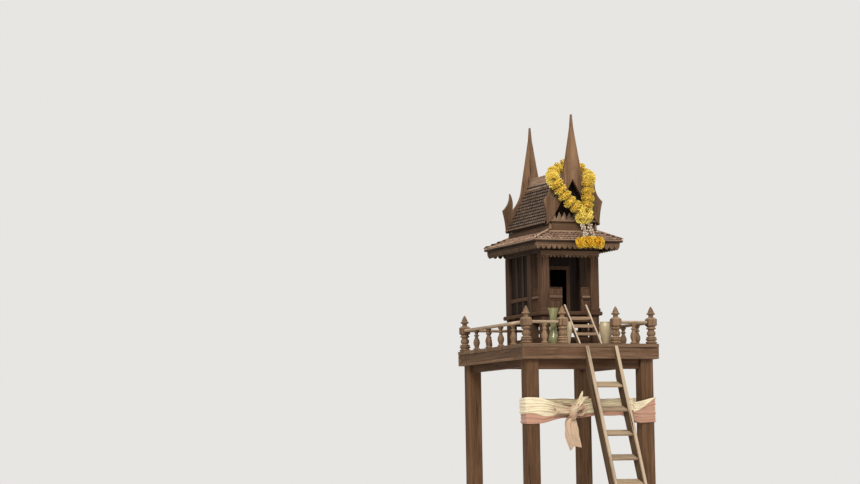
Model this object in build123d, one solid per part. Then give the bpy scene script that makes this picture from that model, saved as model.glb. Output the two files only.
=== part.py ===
from build123d import *
import math
import os

os.makedirs("parts", exist_ok=True)

# A wooden spirit house of the land on four posts, with its deck, balustrade and ladders.
# Millimetres. X runs right along the front, Y runs to the back, Z runs up from the ground.

# Clearances
SEAT = 0.3                      # gap of a piece that is only set down or tied on

# Deck and its posts
DECK_TOP = 1100.0
DECK_WIDTH = 620.0
DECK_DEPTH = 720.0
DECK_BOARD = 16.0
FASCIA_HEIGHT = 48.0
FASCIA_THICK = 20.0
LEG = 57.0
HEADER_THICK = 30.0
HEADER_HEIGHT = 88.0            # front header; the side and back ones are shallower
SIDE_HEADER_HEIGHT = 78.0
BACK_HEADER_HEIGHT = 62.0

# Balustrade
NEWEL_INSET = 24.5
NEWEL_HEIGHT = 157.0
NEWEL_BASE_RADIUS = 24.0
NEWEL_BLOCK = 38.0
NEWEL_BLOCK_LOW = 71.0          # above the deck
NEWEL_BLOCK_HIGH = 109.0
NEWEL_BLOCK_BEVEL = 6.0
GATEWAY = 244.0                 # newel centre to newel centre at the ladder
HANDRAIL_THICK = 12.0
HANDRAIL_WIDTH = 26.0
HANDRAIL_TOP = 96.0
BALUSTER_RADIUS = 15.0
SIDE_BALUSTERS = 4
BACK_BALUSTERS = 4

# House on the deck
HOUSE_WIDTH = 268.0
HOUSE_DEPTH = 387.0
HOUSE_SETBACK = 203.0           # deck front to house front
STILT = 34.0
STILT_HEIGHT = 129.0
SILL_HEIGHT = 38.0
TIE_HEIGHT = 27.0
BEAM_THICK = 22.0
FLOOR_THICK = 17.0
FLOOR_LIP = 10.0
POST = 38.0
PORCH_DEPTH = 127.0
WALL_THICK = 12.0
DOOR_WIDTH = 92.0
DOOR_HEIGHT = 190.0
PANEL_HEIGHT = 103.0
PANEL_THICK = 14.0
PANEL_GATEWAY_LEFT = 34.0       # middle of the house to the left panel
PANEL_GATEWAY_RIGHT = 55.0
DADO_RAIL_LOW = 54.0            # above the house floor
DADO_RAIL_HEIGHT = 17.0
DADO_RAIL_STAND = 7.0
BATTEN_WIDTH = 16.0
BATTEN_THICK = 5.0
BATTENS = 2                     # to a side wall
CEILING_HEIGHT = 279.0          # house floor to the underside of the ceiling
PLATE_HEIGHT = 30.0
CEILING_THICK = 8.0
VALANCE_HEIGHT = 30.0
VALANCE_THICK = 8.0
VALANCE_LAP = 8.0               # over the wall plate's face
VALANCE_PITCH = 18.0
VALANCE_DROP = 8.0

# Skirt roof
SKIRT_WIDTH = 408.0
SKIRT_FRONT_REACH = 97.0        # house front to the eave
SKIRT_BACK_REACH = 66.0
SKIRT_SIDE_PITCH = 22.6
SKIRT_END_PITCH = 30.0
SKIRT_THICK = 10.0
EAVE_BOARD_HEIGHT = 31.0
EAVE_BOARD_THICK = 9.0
EAVE_INSET = 10.0
SCALLOP_PITCH = 24.0
SCALLOP_DROP = 9.0

# Upper roof
KERB_INSET = 8.0                # inside the upper roof's eave
KERB_THICK = 14.0
GABLE_INSET = 32.0              # house front back to the gable's face
GABLE_OUTSET = 2.0              # house back out to the other gable's face
FRIEZE_THICK = 16.0
FRIEZE_RISE = 21.0              # frieze top above the upper roof's eave
MOULDING_HEIGHT = 11.0
MOULDING_STAND = 8.0
FRIEZE_PANEL_HALF = 88.0
FRIEZE_PANEL_HEIGHT = 25.0
FRIEZE_PANEL_RISE = 0.0         # raised panel's top above the upper roof's eave
FRIEZE_PANEL_STAND = 4.0
GABLE_THICK = 10.0
GABLE_RECESS = 36.0             # gable's face behind the roof's end
EAVE_HALF = 120.0
EAVE_RISE = 29.0                # eave above the top of the front skirt slope
RIDGE_RISE = 226.0              # ridge above the eave
ROOF_SAG = 9.0                  # how far the slope bows below a straight line
ROOF_THICK = 10.0
RIDGE_CAP_WIDTH = 28.0
RIDGE_CAP_RISE = 16.0
SPIRE_RISE = 244.0              # spire tip above the ridge
SPIRE_HALF = 44.0
SPIRE_NECK_DROP = 56.0          # thin tip of the spire
SPIRE_NECK_HALF = 6.5
SPIRE_TIP_HALF = 1.5
SPIRE_SHOULDER_DROP = 27.0      # where the spire leaves the gable boards, below the ridge
BARGE_STAND = 11.0              # gable board above the roof's surface
BARGE_DEPTH = 21.0              # gable board's depth below the ridge, measured down
BARGE_THICK = 16.0
HORN_REACH = 16.0               # swallow-tail horn outside the eave
HORN_RISE = 176.0               # its tip above the eave
HORN_TIP_INSET = 18.0           # its tip inside the eave
HORN_FORK_RISE = 101.0
HORN_FORK_INSET = 27.0
HORN_HOLLOW = 11.0              # how far its outer edge bows in

# Ladders
LADDER_CENTRE = 44.5
LADDER_WIDTH = 148.0
LADDER_RAIL = 15.0
LADDER_RAIL_DEPTH = 52.0
LADDER_LEAN = 23.4              # degrees from upright
LADDER_TOP_DROP = 8.0
LADDER_FIRST_STEP = 172.0       # top tread below the deck
LADDER_STEP = 100.3
TREAD_THICK = 9.0
TREAD_DEPTH = 56.0
TREAD_TILT = 19.5               # degrees, front edge lower
SMALL_LADDER_CENTRE = 18.0
SMALL_LADDER_WIDTH = 108.0
SMALL_RAIL = 9.0
SMALL_RAIL_DEPTH = 16.0
SMALL_LADDER_RUN = 125.0        # foot in front of the house floor's edge
SMALL_LADDER_OVER = 28.0        # rails stand above the house floor
SMALL_FIRST_STEP = 44.0
SMALL_STEP = 34.5
SMALL_TREAD_THICK = 13.0
SMALL_TREAD_DEPTH = 18.0

# Offerings tied on or set down
GARLAND_RADIUS = 27.0
GARLAND_BEND = 32.0             # tightest bend of the strung heads
GARLAND_OUT = 107.0             # left strand's middle from the spire's middle
GARLAND_RIGHT_OUT = 76.0
GARLAND_FALL = 215.0            # crown of the garland down to its two strands' meeting
BUNCH_X = 38.5
BUNCH_HALF_WIDTH = 43.0
BUNCH_HALF_HEIGHT = 45.0
BUNCH_DROP = 3.5                # lowest head below the upper roof's eave
STRING_RADIUS = 7.0
STRING_SPREAD = 16.0
STRING_SHIFT = 7.5              # strings' middle right of the bunch's
STRING_FALL = 24.0              # hangs down before it leans out to the eave
STRING_LEAN = 5.0
STRING_BEND = 14.0
PENDANT_RADIUS = 24.0
PENDANT_WIDTH = 134.0
PENDANT_DROP = 11.0
PENDANT_SAG = 10.0
PENDANT_BEND = 40.0
SASH_THICK = 10.0
SASH_HEIGHT = 108.0
SASH_TOP_DROP = 222.0
SASH_GATHER = 66.0
SASH_GATHER_DROP = 44.0         # middle of the gathered run below the sash's top
SASH_NARROWS = 60.0             # run beside a post where the cloth gathers
SASH_STRAND = 26.0
KNOT_X = -91.0
KNOT_HALF_WIDTH = 22.0
KNOT_HALF_DEPTH = 20.0
KNOT_HALF_HEIGHT = 36.0
KNOT_DROP = 18.0                # below the gathered run's middle
BOW_THICK = 9.0
BOW_WIDTH = 34.0
BOW_REACH = 69.0
BOW_RISE = 84.0
RIBBON_REACH = 92.0
TAIL_WIDTH = 58.0
TAIL_LENGTH = 155.0
TAIL_SWING = 8.0
TAIL_HANG = 15.0                # left of the knot, where the tail leaves it
TAIL_HANG_DROP = 45.0
GREEN_VASE_HEIGHT = 150.0
GREEN_VASE_RADIUS = 24.0
GREEN_VASE_BORE = 9.0
GREEN_VASE_X = -141.0
WHITE_VASE_HEIGHT = 94.0
WHITE_VASE_RADIUS = 21.0
WHITE_VASE_BORE = 7.5
LEFT_WHITE_VASE_X = -79.0
RIGHT_WHITE_VASE_X = 96.5
RIGHT_WHITE_VASE_SHARE = 1.24   # wider than the left one
VASE_FLOOR = 7.0
VASE_SETBACK = 72.0             # from the deck's front edge

# Places worked out from the sizes above
house_half = HOUSE_WIDTH / 2
deck_half = DECK_WIDTH / 2
lean = math.tan(math.radians(LADDER_LEAN))
ladder_rail_run = LADDER_RAIL_DEPTH / math.cos(math.radians(LADDER_LEAN))
ladder_top = DECK_TOP - LADDER_TOP_DROP
ladder_reach = SEAT + ladder_top * lean
front = (ladder_reach + DECK_DEPTH) / 2 - DECK_DEPTH
back = front + DECK_DEPTH
deck_under = DECK_TOP - DECK_BOARD
fascia_bottom = deck_under - FASCIA_HEIGHT
house_front = front + HOUSE_SETBACK
house_back = house_front + HOUSE_DEPTH
floor_under = DECK_TOP + STILT_HEIGHT
floor_top = floor_under + FLOOR_THICK
ceiling_under = floor_top + CEILING_HEIGHT
ceiling_top = ceiling_under + CEILING_THICK
plate_under = ceiling_under - PLATE_HEIGHT
room_front = house_front + PORCH_DEPTH
skirt_front = house_front - SKIRT_FRONT_REACH
skirt_back = house_back + SKIRT_BACK_REACH
skirt_half = SKIRT_WIDTH / 2
side_slope = math.tan(math.radians(SKIRT_SIDE_PITCH))
end_slope = math.tan(math.radians(SKIRT_END_PITCH))
eave_top = ceiling_top + SKIRT_THICK
gable_front = house_front - GABLE_INSET
gable_back = house_back + GABLE_OUTSET
frieze_front = gable_front + SEAT
frieze_back = gable_back - SEAT
roof_eave = eave_top + (gable_front - skirt_front) * end_slope + EAVE_RISE
roof_ridge = roof_eave + RIDGE_RISE
frieze_top = roof_eave + FRIEZE_RISE
kerb_half = EAVE_HALF - KERB_INSET


def board(x0, x1, y0, y1, z0, z1):
    """A square-edged board between two corners."""
    block = Box(x1 - x0, y1 - y0, z1 - z0)
    return Pos((x0 + x1) / 2, (y0 + y1) / 2, (z0 + z1) / 2) * block


def front_plate(points, y, thick):
    """A flat outline of (x, z) points, thick along Y from y."""
    outline = Polyline([(x, y, z) for x, z in points], close=True)
    return extrude(make_face(outline), amount=thick, dir=(0, 1, 0))


def side_plate(points, x, thick):
    """A flat outline of (y, z) points, thick along X from x."""
    outline = Polyline([(x, y, z) for y, z in points], close=True)
    return extrude(make_face(outline), amount=thick, dir=(1, 0, 0))


def mirrored(shape):
    """The same piece on the other side of the middle."""
    return mirror(shape, about=Plane.YZ)


def both_sides(shape):
    """The piece and its mirror image."""
    return [shape, mirrored(shape)]


def save(name, pieces):
    """Write one named piece, or several like pieces that share a name."""
    solids = []
    for piece in pieces if isinstance(pieces, list) else [pieces]:
        solids.extend(piece.solids())
    shape = solids[0] if len(solids) == 1 else Compound(solids)
    shape.label = name
    export_step(shape, f"parts/{name}.step")


def turned(profile, x, y, z):
    """A turned piece from (radius, height) points, standing at x, y, z."""
    points = [(0, 0, profile[0][1])]
    points += [(radius, 0, height) for radius, height in profile]
    points += [(0, 0, profile[-1][1])]
    outline = Polyline(points, close=True)
    return Pos(x, y, z) * revolve(make_face(outline), axis=Axis.Z)


# Posts, beams and deck
def legs():
    outer = deck_half - FASCIA_THICK - SEAT
    inner = outer - LEG
    near = front + FASCIA_THICK + SEAT
    far = back - FASCIA_THICK - SEAT
    left_front = board(-outer, -inner, near, near + LEG, 0, deck_under)
    left_back = board(-outer, -inner, far - LEG, far, 0, deck_under)
    save("leg_front_left", left_front)
    save("leg_front_right", mirrored(left_front))
    save("leg_back_left", left_back)
    save("leg_back_right", mirrored(left_back))


def header_beams():
    outer = deck_half - FASCIA_THICK - SEAT
    near = front + FASCIA_THICK + SEAT
    far = back - FASCIA_THICK - SEAT
    span = outer - LEG - SEAT
    middle = (LEG - HEADER_THICK) / 2
    front_beam = board(-span, span, near + middle, near + LEG - middle,
                       deck_under - HEADER_HEIGHT, deck_under)
    back_beam = board(-span, span, far - LEG + middle, far - middle,
                      deck_under - BACK_HEADER_HEIGHT, deck_under)
    side_beam = board(
        -outer + middle, -outer + LEG - middle,
        near + LEG + SEAT, far - LEG - SEAT,
        deck_under - SIDE_HEADER_HEIGHT, deck_under)
    save("header_beams", [front_beam, back_beam] + both_sides(side_beam))


def deck():
    save("deck_boards", board(-deck_half, deck_half, front, back, deck_under, DECK_TOP))
    front_board = board(-deck_half, deck_half, front, front + FASCIA_THICK, fascia_bottom, deck_under)
    back_board = board(-deck_half, deck_half, back - FASCIA_THICK, back, fascia_bottom, deck_under)
    side_board = board(
        -deck_half, -deck_half + FASCIA_THICK,
        front + FASCIA_THICK + SEAT, back - FASCIA_THICK - SEAT,
        fascia_bottom, deck_under)
    save("deck_fascias", [front_board, back_board] + both_sides(side_board))


# Balustrade
newel_x = deck_half - NEWEL_INSET
newel_front = front + NEWEL_INSET
newel_back = back - NEWEL_INSET
handrail_low = HANDRAIL_TOP - HANDRAIL_THICK


def newel(x, y):
    base = NEWEL_BASE_RADIUS
    low = NEWEL_BLOCK_LOW
    high = NEWEL_BLOCK_HIGH
    lower = turned([
        (base, 0), (base, 9), (base - 5, 13), (base, 18), (base - 2, 26), (base - 10, 31),
        (base - 7, 36), (base - 5.5, 43), (base - 7, 50), (base - 12, 57), (base - 4, 62),
        (base - 4, 67), (base - 8, low)], x, y, DECK_TOP)
    block = Box(NEWEL_BLOCK, NEWEL_BLOCK, high - low)
    ends = block.faces().sort_by(Axis.Z)[0].edges() + block.faces().sort_by(Axis.Z)[-1].edges()
    block = Pos(x, y, DECK_TOP + (low + high) / 2) * chamfer(ends, NEWEL_BLOCK_BEVEL)
    upper = turned([
        (12, high), (10, high + 8), (19, high + 14), (20, high + 19), (13, high + 24),
        (7, high + 35), (1.5, NEWEL_HEIGHT)], x, y, DECK_TOP)
    return lower + block + upper


def baluster(x, y):
    top = handrail_low
    wide = BALUSTER_RADIUS
    return turned([
        (wide, 0), (wide, 8), (wide - 6, 14), (wide - 3, 22), (wide - 1, 32), (wide - 4, 44),
        (wide - 8, 54), (wide - 4, 60), (wide - 4, 66), (wide - 8, 71),
        (wide - 3, top - 6), (wide - 3, top)], x, y, DECK_TOP)


def rail_between(x0, y0, x1, y1):
    """A handrail from one newel's block to the next."""
    half = HANDRAIL_WIDTH / 2
    trim = NEWEL_BLOCK / 2 + SEAT
    low = DECK_TOP + handrail_low
    high = DECK_TOP + HANDRAIL_TOP
    if y0 == y1:
        return board(x0 + trim, x1 - trim, y0 - half, y0 + half, low, high)
    return board(x0 - half, x0 + half, y0 + trim, y1 - trim, low, high)


def balustrade():
    gate = GATEWAY / 2
    newels = [newel(x, y) for x in (-newel_x, newel_x) for y in (newel_front, newel_back)]
    newels += [newel(-gate, newel_front), newel(gate, newel_front)]
    save("newel_posts", newels)
    rails = both_sides(rail_between(-newel_x, newel_front, -gate, newel_front))
    rails += both_sides(rail_between(-newel_x, newel_front, -newel_x, newel_back))
    rails.append(rail_between(-newel_x, newel_back, newel_x, newel_back))
    save("handrails", rails)
    bay = (newel_x + gate) / 2
    small = [baluster(-bay, newel_front), baluster(bay, newel_front)]
    for number in range(1, SIDE_BALUSTERS + 1):
        place = newel_front + (newel_back - newel_front) * number / (SIDE_BALUSTERS + 1)
        small += [baluster(-newel_x, place), baluster(newel_x, place)]
    for number in range(1, BACK_BALUSTERS + 1):
        place = -newel_x + 2 * newel_x * number / (BACK_BALUSTERS + 1)
        small.append(baluster(place, newel_back))
    save("balusters", small)


# House base and floor
post_near = house_front + POST / 2
post_far = house_back - POST / 2
post_room = room_front + WALL_THICK / 2
post_x = house_half - POST / 2


def house_base():
    stilts = []
    half = STILT / 2
    for y in (post_near, post_room, post_far):
        stilt = board(-post_x - half, -post_x + half, y - half, y + half, DECK_TOP, floor_under)
        stilts += both_sides(stilt)
    save("house_stilts", stilts)
    beams = []
    thick = BEAM_THICK / 2
    inner = post_x - half - SEAT
    for low, high in ((DECK_TOP, DECK_TOP + SILL_HEIGHT), (floor_under - TIE_HEIGHT, floor_under)):
        for y in (post_near, post_far):
            beams.append(board(-inner, inner, y - thick, y + thick, low, high))
        for near, far in ((post_near, post_room), (post_room, post_far)):
            beams += both_sides(board(
                -post_x - thick, -post_x + thick,
                near + half + SEAT, far - half - SEAT,
                low, high))
    save("base_beams", beams)
    lip = FLOOR_LIP
    save("house_floor", board(
        -house_half - lip, house_half + lip,
        house_front - lip, house_back + lip,
        floor_under, floor_top))


# House walls and porch
def house_posts():
    porch = board(-house_half, -house_half + POST, house_front, house_front + POST, floor_top, plate_under)
    save("porch_posts", both_sides(porch))
    pieces = []
    for y0, y1 in ((post_room - POST / 2, post_room + POST / 2), (house_back - POST, house_back)):
        pieces += both_sides(board(-house_half, -house_half + POST, y0, y1, floor_top, plate_under))
    save("wall_posts", pieces)


def house_walls():
    inner = house_half - POST - SEAT
    near = post_room + POST / 2 + SEAT
    far = house_back - POST - SEAT
    skin = (POST - WALL_THICK) / 2
    left = board(-house_half + skin, -house_half + skin + WALL_THICK, near, far, floor_top, plate_under)
    save("left_wall", left)
    save("right_wall", mirrored(left))
    face = house_back - skin
    save("back_wall", board(-inner, inner, face - WALL_THICK, face, floor_top, plate_under))
    door = DOOR_WIDTH / 2
    beside = board(-inner, -door, room_front, room_front + WALL_THICK, floor_top, plate_under)
    save("front_wall_left", beside)
    save("front_wall_right", mirrored(beside))
    over = board(
        -door + SEAT, door - SEAT,
        room_front, room_front + WALL_THICK,
        floor_top + DOOR_HEIGHT, plate_under)
    save("wall_over_door", over)


def porch_panels():
    inner = house_half - POST - SEAT
    middle = house_front + POST / 2
    half = PANEL_THICK / 2
    top = floor_top + PANEL_HEIGHT
    left_panel = board(-inner, -PANEL_GATEWAY_LEFT, middle - half, middle + half, floor_top, top)
    right_panel = board(PANEL_GATEWAY_RIGHT, inner, middle - half, middle + half, floor_top, top)
    near = house_front + POST + SEAT
    far = post_room - POST / 2 - SEAT
    side_panel = board(-post_x - half, -post_x + half, near, far, floor_top, top)
    save("porch_panels", [left_panel, right_panel] + both_sides(side_panel))


def dado():
    """The moulded rail along the porch panels and side walls, and the side walls' battens."""
    low = floor_top + DADO_RAIL_LOW
    high = low + DADO_RAIL_HEIGHT
    inner = house_half - POST - SEAT
    face = house_front + (POST - PANEL_THICK) / 2
    rails = [board(x0, x1, face - DADO_RAIL_STAND, face, low, high)
             for x0, x1 in ((-inner, -PANEL_GATEWAY_LEFT), (PANEL_GATEWAY_RIGHT, inner))]
    near = house_front + POST + SEAT
    far = post_room - POST / 2 - SEAT
    side = -post_x - PANEL_THICK / 2
    rails += both_sides(board(side - DADO_RAIL_STAND, side, near, far, low, high))
    near = post_room + POST / 2 + SEAT
    far = house_back - POST - SEAT
    side = -house_half + (POST - WALL_THICK) / 2
    rails += both_sides(board(side - DADO_RAIL_STAND, side, near, far, low, high))
    save("dado_rails", rails)
    battens = []
    for number in range(1, BATTENS + 1):
        middle = near + (far - near) * number / (BATTENS + 1)
        for foot, head in ((floor_top, low), (high, plate_under)):
            battens += both_sides(board(
                side - BATTEN_THICK, side,
                middle - BATTEN_WIDTH / 2, middle + BATTEN_WIDTH / 2,
                foot, head))
    save("wall_battens", battens)


def wall_plates():
    half = house_half
    front_beam = board(-half, half, house_front, house_front + POST, plate_under, ceiling_under)
    back_beam = board(-half, half, house_back - POST, house_back, plate_under, ceiling_under)
    side = board(
        -half, -half + POST,
        house_front + POST + SEAT, house_back - POST - SEAT,
        plate_under, ceiling_under)
    save("wall_plates", [front_beam, back_beam] + both_sides(side))


# Skirt roof
def ceiling():
    edge = EAVE_INSET + EAVE_BOARD_THICK + SEAT
    save("ceiling", board(
        -skirt_half + edge, skirt_half - edge,
        skirt_front + edge, skirt_back - edge,
        ceiling_under, ceiling_top))


def scalloped_edge(length, pitch, drop):
    """Lower edge of a scalloped board as (along, drop) points, from -length/2 to length/2."""
    count = round(length / pitch)
    step = length / count
    points = []
    for number in range(count):
        start = -length / 2 + number * step
        for share in (0.0, 0.2, 0.5, 0.8):
            points.append((start + step * share, drop * math.sin(math.pi * share)))
    points.append((length / 2, 0.0))
    return points


def eave_boards():
    top = ceiling_top - SEAT
    low = top - EAVE_BOARD_HEIGHT + SCALLOP_DROP
    thick = EAVE_BOARD_THICK
    half = skirt_half - EAVE_INSET
    near = skirt_front + EAVE_INSET
    far = skirt_back - EAVE_INSET
    across = [(x, low - drop) for x, drop in scalloped_edge(2 * half, SCALLOP_PITCH, SCALLOP_DROP)]
    across += [(half, top), (-half, top)]
    length = far - near - 2 * (thick + SEAT)
    middle = (near + far) / 2
    along = [(middle + y, low - drop) for y, drop in scalloped_edge(length, SCALLOP_PITCH, SCALLOP_DROP)]
    along += [(middle + length / 2, top), (middle - length / 2, top)]
    pieces = [front_plate(across, near, thick), front_plate(across, far - thick, thick)]
    pieces += both_sides(side_plate(along, -half, thick))
    save("eave_boards", pieces)


def porch_valance():
    """The scalloped board over the porch's open front."""
    top = plate_under + VALANCE_LAP
    low = top - VALANCE_HEIGHT + VALANCE_DROP
    edge = scalloped_edge(HOUSE_WIDTH, VALANCE_PITCH, VALANCE_DROP)
    outline = [(x, low - drop) for x, drop in edge]
    outline += [(house_half, top), (-house_half, top)]
    save("porch_valance", front_plate(outline, house_front - VALANCE_THICK, VALANCE_THICK))


def slope_slab(corners):
    """A roof slope of even upright thickness over a plan outline given as (x, y, top)."""
    top = make_face(Polyline([(x, y, z) for x, y, z in corners], close=True))
    return extrude(top, amount=SKIRT_THICK, dir=(0, 0, -1))


def skirt_roof():
    gap = SEAT / 2
    hip = (frieze_front - skirt_front) * end_slope / side_slope
    hip_x = skirt_half - hip
    inner = kerb_half + SEAT
    rise = (frieze_front - skirt_front) * end_slope
    far_rise = (skirt_back - frieze_back) * end_slope
    far_hip_x = skirt_half - far_rise / side_slope
    near_edge = frieze_front - SEAT
    far_edge = frieze_back + SEAT
    front_slope = slope_slab([
        (-skirt_half + gap, skirt_front, eave_top), (skirt_half - gap, skirt_front, eave_top),
        (hip_x - gap, near_edge, eave_top + rise), (-hip_x + gap, near_edge, eave_top + rise)])
    back_slope = slope_slab([
        (-skirt_half + gap, skirt_back, eave_top), (skirt_half - gap, skirt_back, eave_top),
        (far_hip_x - gap, far_edge, eave_top + far_rise), (-far_hip_x + gap, far_edge, eave_top + far_rise)])
    top = eave_top + (skirt_half - inner) * side_slope
    side_slope_slab = slope_slab([
        (-skirt_half, skirt_front + gap, eave_top), (-hip_x, near_edge + gap, eave_top + rise),
        (-inner, near_edge + gap, top), (-inner, far_edge - gap, top),
        (-far_hip_x, far_edge - gap, eave_top + far_rise), (-skirt_half, skirt_back - gap, eave_top)])
    save("skirt_roof", [front_slope, back_slope] + both_sides(side_slope_slab))


# Upper roof
def slope_points(offset):
    """The roof's half section from eave to ridge as (x, z), moved inwards by offset."""
    points = []
    for step in range(7):
        share = step / 6
        x = (EAVE_HALF - offset) * (1 - share)
        z = roof_eave + (RIDGE_RISE - offset * 1.9) * share - 4 * ROOF_SAG * share * (1 - share)
        points.append((x, z))
    return points


def slope_height(x, offset):
    """Height of the slope, moved inwards by offset, at a distance from the middle."""
    points = slope_points(offset)
    for (x0, z0), (x1, z1) in zip(points, points[1:]):
        if x1 <= x <= x0:
            return z0 + (z1 - z0) * (x0 - x) / (x0 - x1)
    return points[0][1]


def slope_half_width(height, offset):
    """Half the width between the slopes, moved inwards by offset, at a height."""
    points = slope_points(offset)
    for (x0, z0), (x1, z1) in zip(points, points[1:]):
        if z0 <= height <= z1:
            return x0 + (x1 - x0) * (height - z0) / (z1 - z0)
    return points[0][0]


def attic():
    kerb = board(
        -kerb_half, -kerb_half + KERB_THICK,
        frieze_front + FRIEZE_THICK + SEAT, frieze_back - FRIEZE_THICK - SEAT,
        ceiling_top, roof_eave - SEAT)
    save("roof_kerbs", both_sides(kerb))
    neck = slope_half_width(frieze_top, ROOF_THICK) - 2 * SEAT
    shoulder = roof_eave - SEAT
    outline = [
        (-kerb_half, ceiling_top), (kerb_half, ceiling_top), (kerb_half, shoulder), (neck, shoulder),
        (neck, frieze_top), (-neck, frieze_top), (-neck, shoulder), (-kerb_half, shoulder)]
    boards = []
    moulding = neck - MOULDING_STAND
    panel_high = roof_eave + FRIEZE_PANEL_RISE
    for face, outward in ((frieze_front, -1), (frieze_back, 1)):
        near = min(face, face - outward * FRIEZE_THICK)
        piece = front_plate(outline, near, FRIEZE_THICK)
        for half, stand, low, high in (
                (moulding, MOULDING_STAND, frieze_top - MOULDING_HEIGHT + FRIEZE_PANEL_STAND, frieze_top),
                (FRIEZE_PANEL_HALF, FRIEZE_PANEL_STAND, panel_high - FRIEZE_PANEL_HEIGHT, panel_high)):
            edge = face + outward * stand
            piece += board(-half, half, min(face, edge), max(face, edge), low, high)
        boards.append(piece)
    save("frieze_boards", boards)
    inside = slope_points(ROOF_THICK + 2 * SEAT)
    gable = inside + [(-x, z) for x, z in reversed(inside) if x > 0]
    panel_near = gable_front + GABLE_RECESS
    panel_far = gable_back - GABLE_RECESS - GABLE_THICK
    save("gable_panels", [front_plate(gable, y, GABLE_THICK) for y in (panel_near, panel_far)])


def roof_slopes():
    outer = slope_points(0)
    inner = slope_points(ROOF_THICK)
    section = [(-x, z) for x, z in outer] + [(-x, z) for x, z in reversed(inner)]
    left = front_plate(section, gable_front, gable_back - gable_front)
    left = Pos(-SEAT / 2, 0, 0) * left
    save("roof_left", left)
    save("roof_right", mirrored(left))
    half = RIDGE_CAP_WIDTH / 2
    ridge = roof_ridge + 4 * SEAT
    hip = slope_height(half, 0) + 4 * SEAT
    top = roof_ridge + RIDGE_CAP_RISE
    cap = [(-half, hip), (0, ridge), (half, hip), (half, top), (-half, top)]
    save("ridge_cap", front_plate(cap, gable_front + SEAT, gable_back - gable_front - 2 * SEAT))


def gable_board_edges(side, y):
    """The edges of one half of a gable board, from the spire's tip round to the inner apex."""
    def place(x, z):
        return (side * x, y, z)

    shoulder = roof_ridge - SPIRE_SHOULDER_DROP
    flare_x, flare_z = slope_points(-BARGE_STAND * 2.1)[3]
    fork_x = EAVE_HALF - HORN_FORK_INSET
    fork_z = roof_eave + HORN_FORK_RISE
    tip_x = EAVE_HALF - HORN_TIP_INSET
    tip_z = roof_eave + HORN_RISE
    point_x = EAVE_HALF + HORN_REACH
    foot_z = roof_eave - SEAT
    inner = slope_points(ROOF_THICK)
    tip = roof_ridge + SPIRE_RISE
    neck = place(SPIRE_NECK_HALF, tip - SPIRE_NECK_DROP)
    spire_top = Line(place(SPIRE_TIP_HALF, tip), neck)
    spire = Line(neck, place(SPIRE_HALF, shoulder))
    flare = Spline(place(SPIRE_HALF, shoulder), place(flare_x, flare_z), place(fork_x, fork_z))
    horn_in = ThreePointArc(
        place(fork_x, fork_z),
        place((fork_x + tip_x) / 2 - HORN_HOLLOW * 0.7, (fork_z + tip_z) / 2),
        place(tip_x, tip_z))
    horn_out = ThreePointArc(
        place(tip_x, tip_z),
        place((tip_x + point_x) / 2 - HORN_HOLLOW * 0.8, (tip_z + fork_z) / 2 - HORN_HOLLOW * 0.5),
        place(point_x, fork_z))
    horn_low = ThreePointArc(
        place(point_x, fork_z),
        place((point_x + EAVE_HALF) / 2 - HORN_HOLLOW * 0.3, (fork_z + foot_z) / 2),
        place(EAVE_HALF, foot_z))
    under = Spline(
        place(EAVE_HALF, foot_z), place(inner[1][0] + 4, inner[1][1]), place(inner[2][0], inner[2][1] + 4),
        place(inner[4][0], inner[4][1] - BARGE_DEPTH * 0.2), place(0, inner[6][1] - BARGE_DEPTH * 0.6))
    return [spire_top, spire, flare, horn_in, horn_out, horn_low, under]


def gable_boards():
    tip_z = roof_ridge + SPIRE_RISE
    places = {
        "gable_boards_front": gable_front - SEAT - BARGE_THICK,
        "gable_boards_back": gable_back + SEAT}
    for name, y in places.items():
        edges = gable_board_edges(1, y) + gable_board_edges(-1, y)
        edges.append(Line((-SPIRE_TIP_HALF, y, tip_z), (SPIRE_TIP_HALF, y, tip_z)))
        save(name, extrude(make_face(edges), amount=BARGE_THICK, dir=(0, 1, 0)))


# Ladders
def main_ladder():
    face = front - SEAT
    run = ladder_rail_run
    foot = face - ladder_top * lean
    profile = [(face, ladder_top), (face, ladder_top - run / lean), (foot + run, 0), (foot, 0)]
    left = LADDER_CENTRE - LADDER_WIDTH / 2
    right = LADDER_CENTRE + LADDER_WIDTH / 2
    save("ladder_rails", [side_plate(profile, x, LADDER_RAIL) for x in (left, right - LADDER_RAIL)])
    treads = []
    span = LADDER_WIDTH - 2 * (LADDER_RAIL + SEAT)
    height = DECK_TOP - LADDER_FIRST_STEP
    while height > LADDER_STEP / 2:
        middle = face - (ladder_top - height) * lean + run / 2
        tread = Rot(TREAD_TILT, 0, 0) * Box(span, TREAD_DEPTH, TREAD_THICK)
        treads.append(Pos(LADDER_CENTRE, middle, height) * tread)
        height -= LADDER_STEP
    save("ladder_treads", treads)


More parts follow.
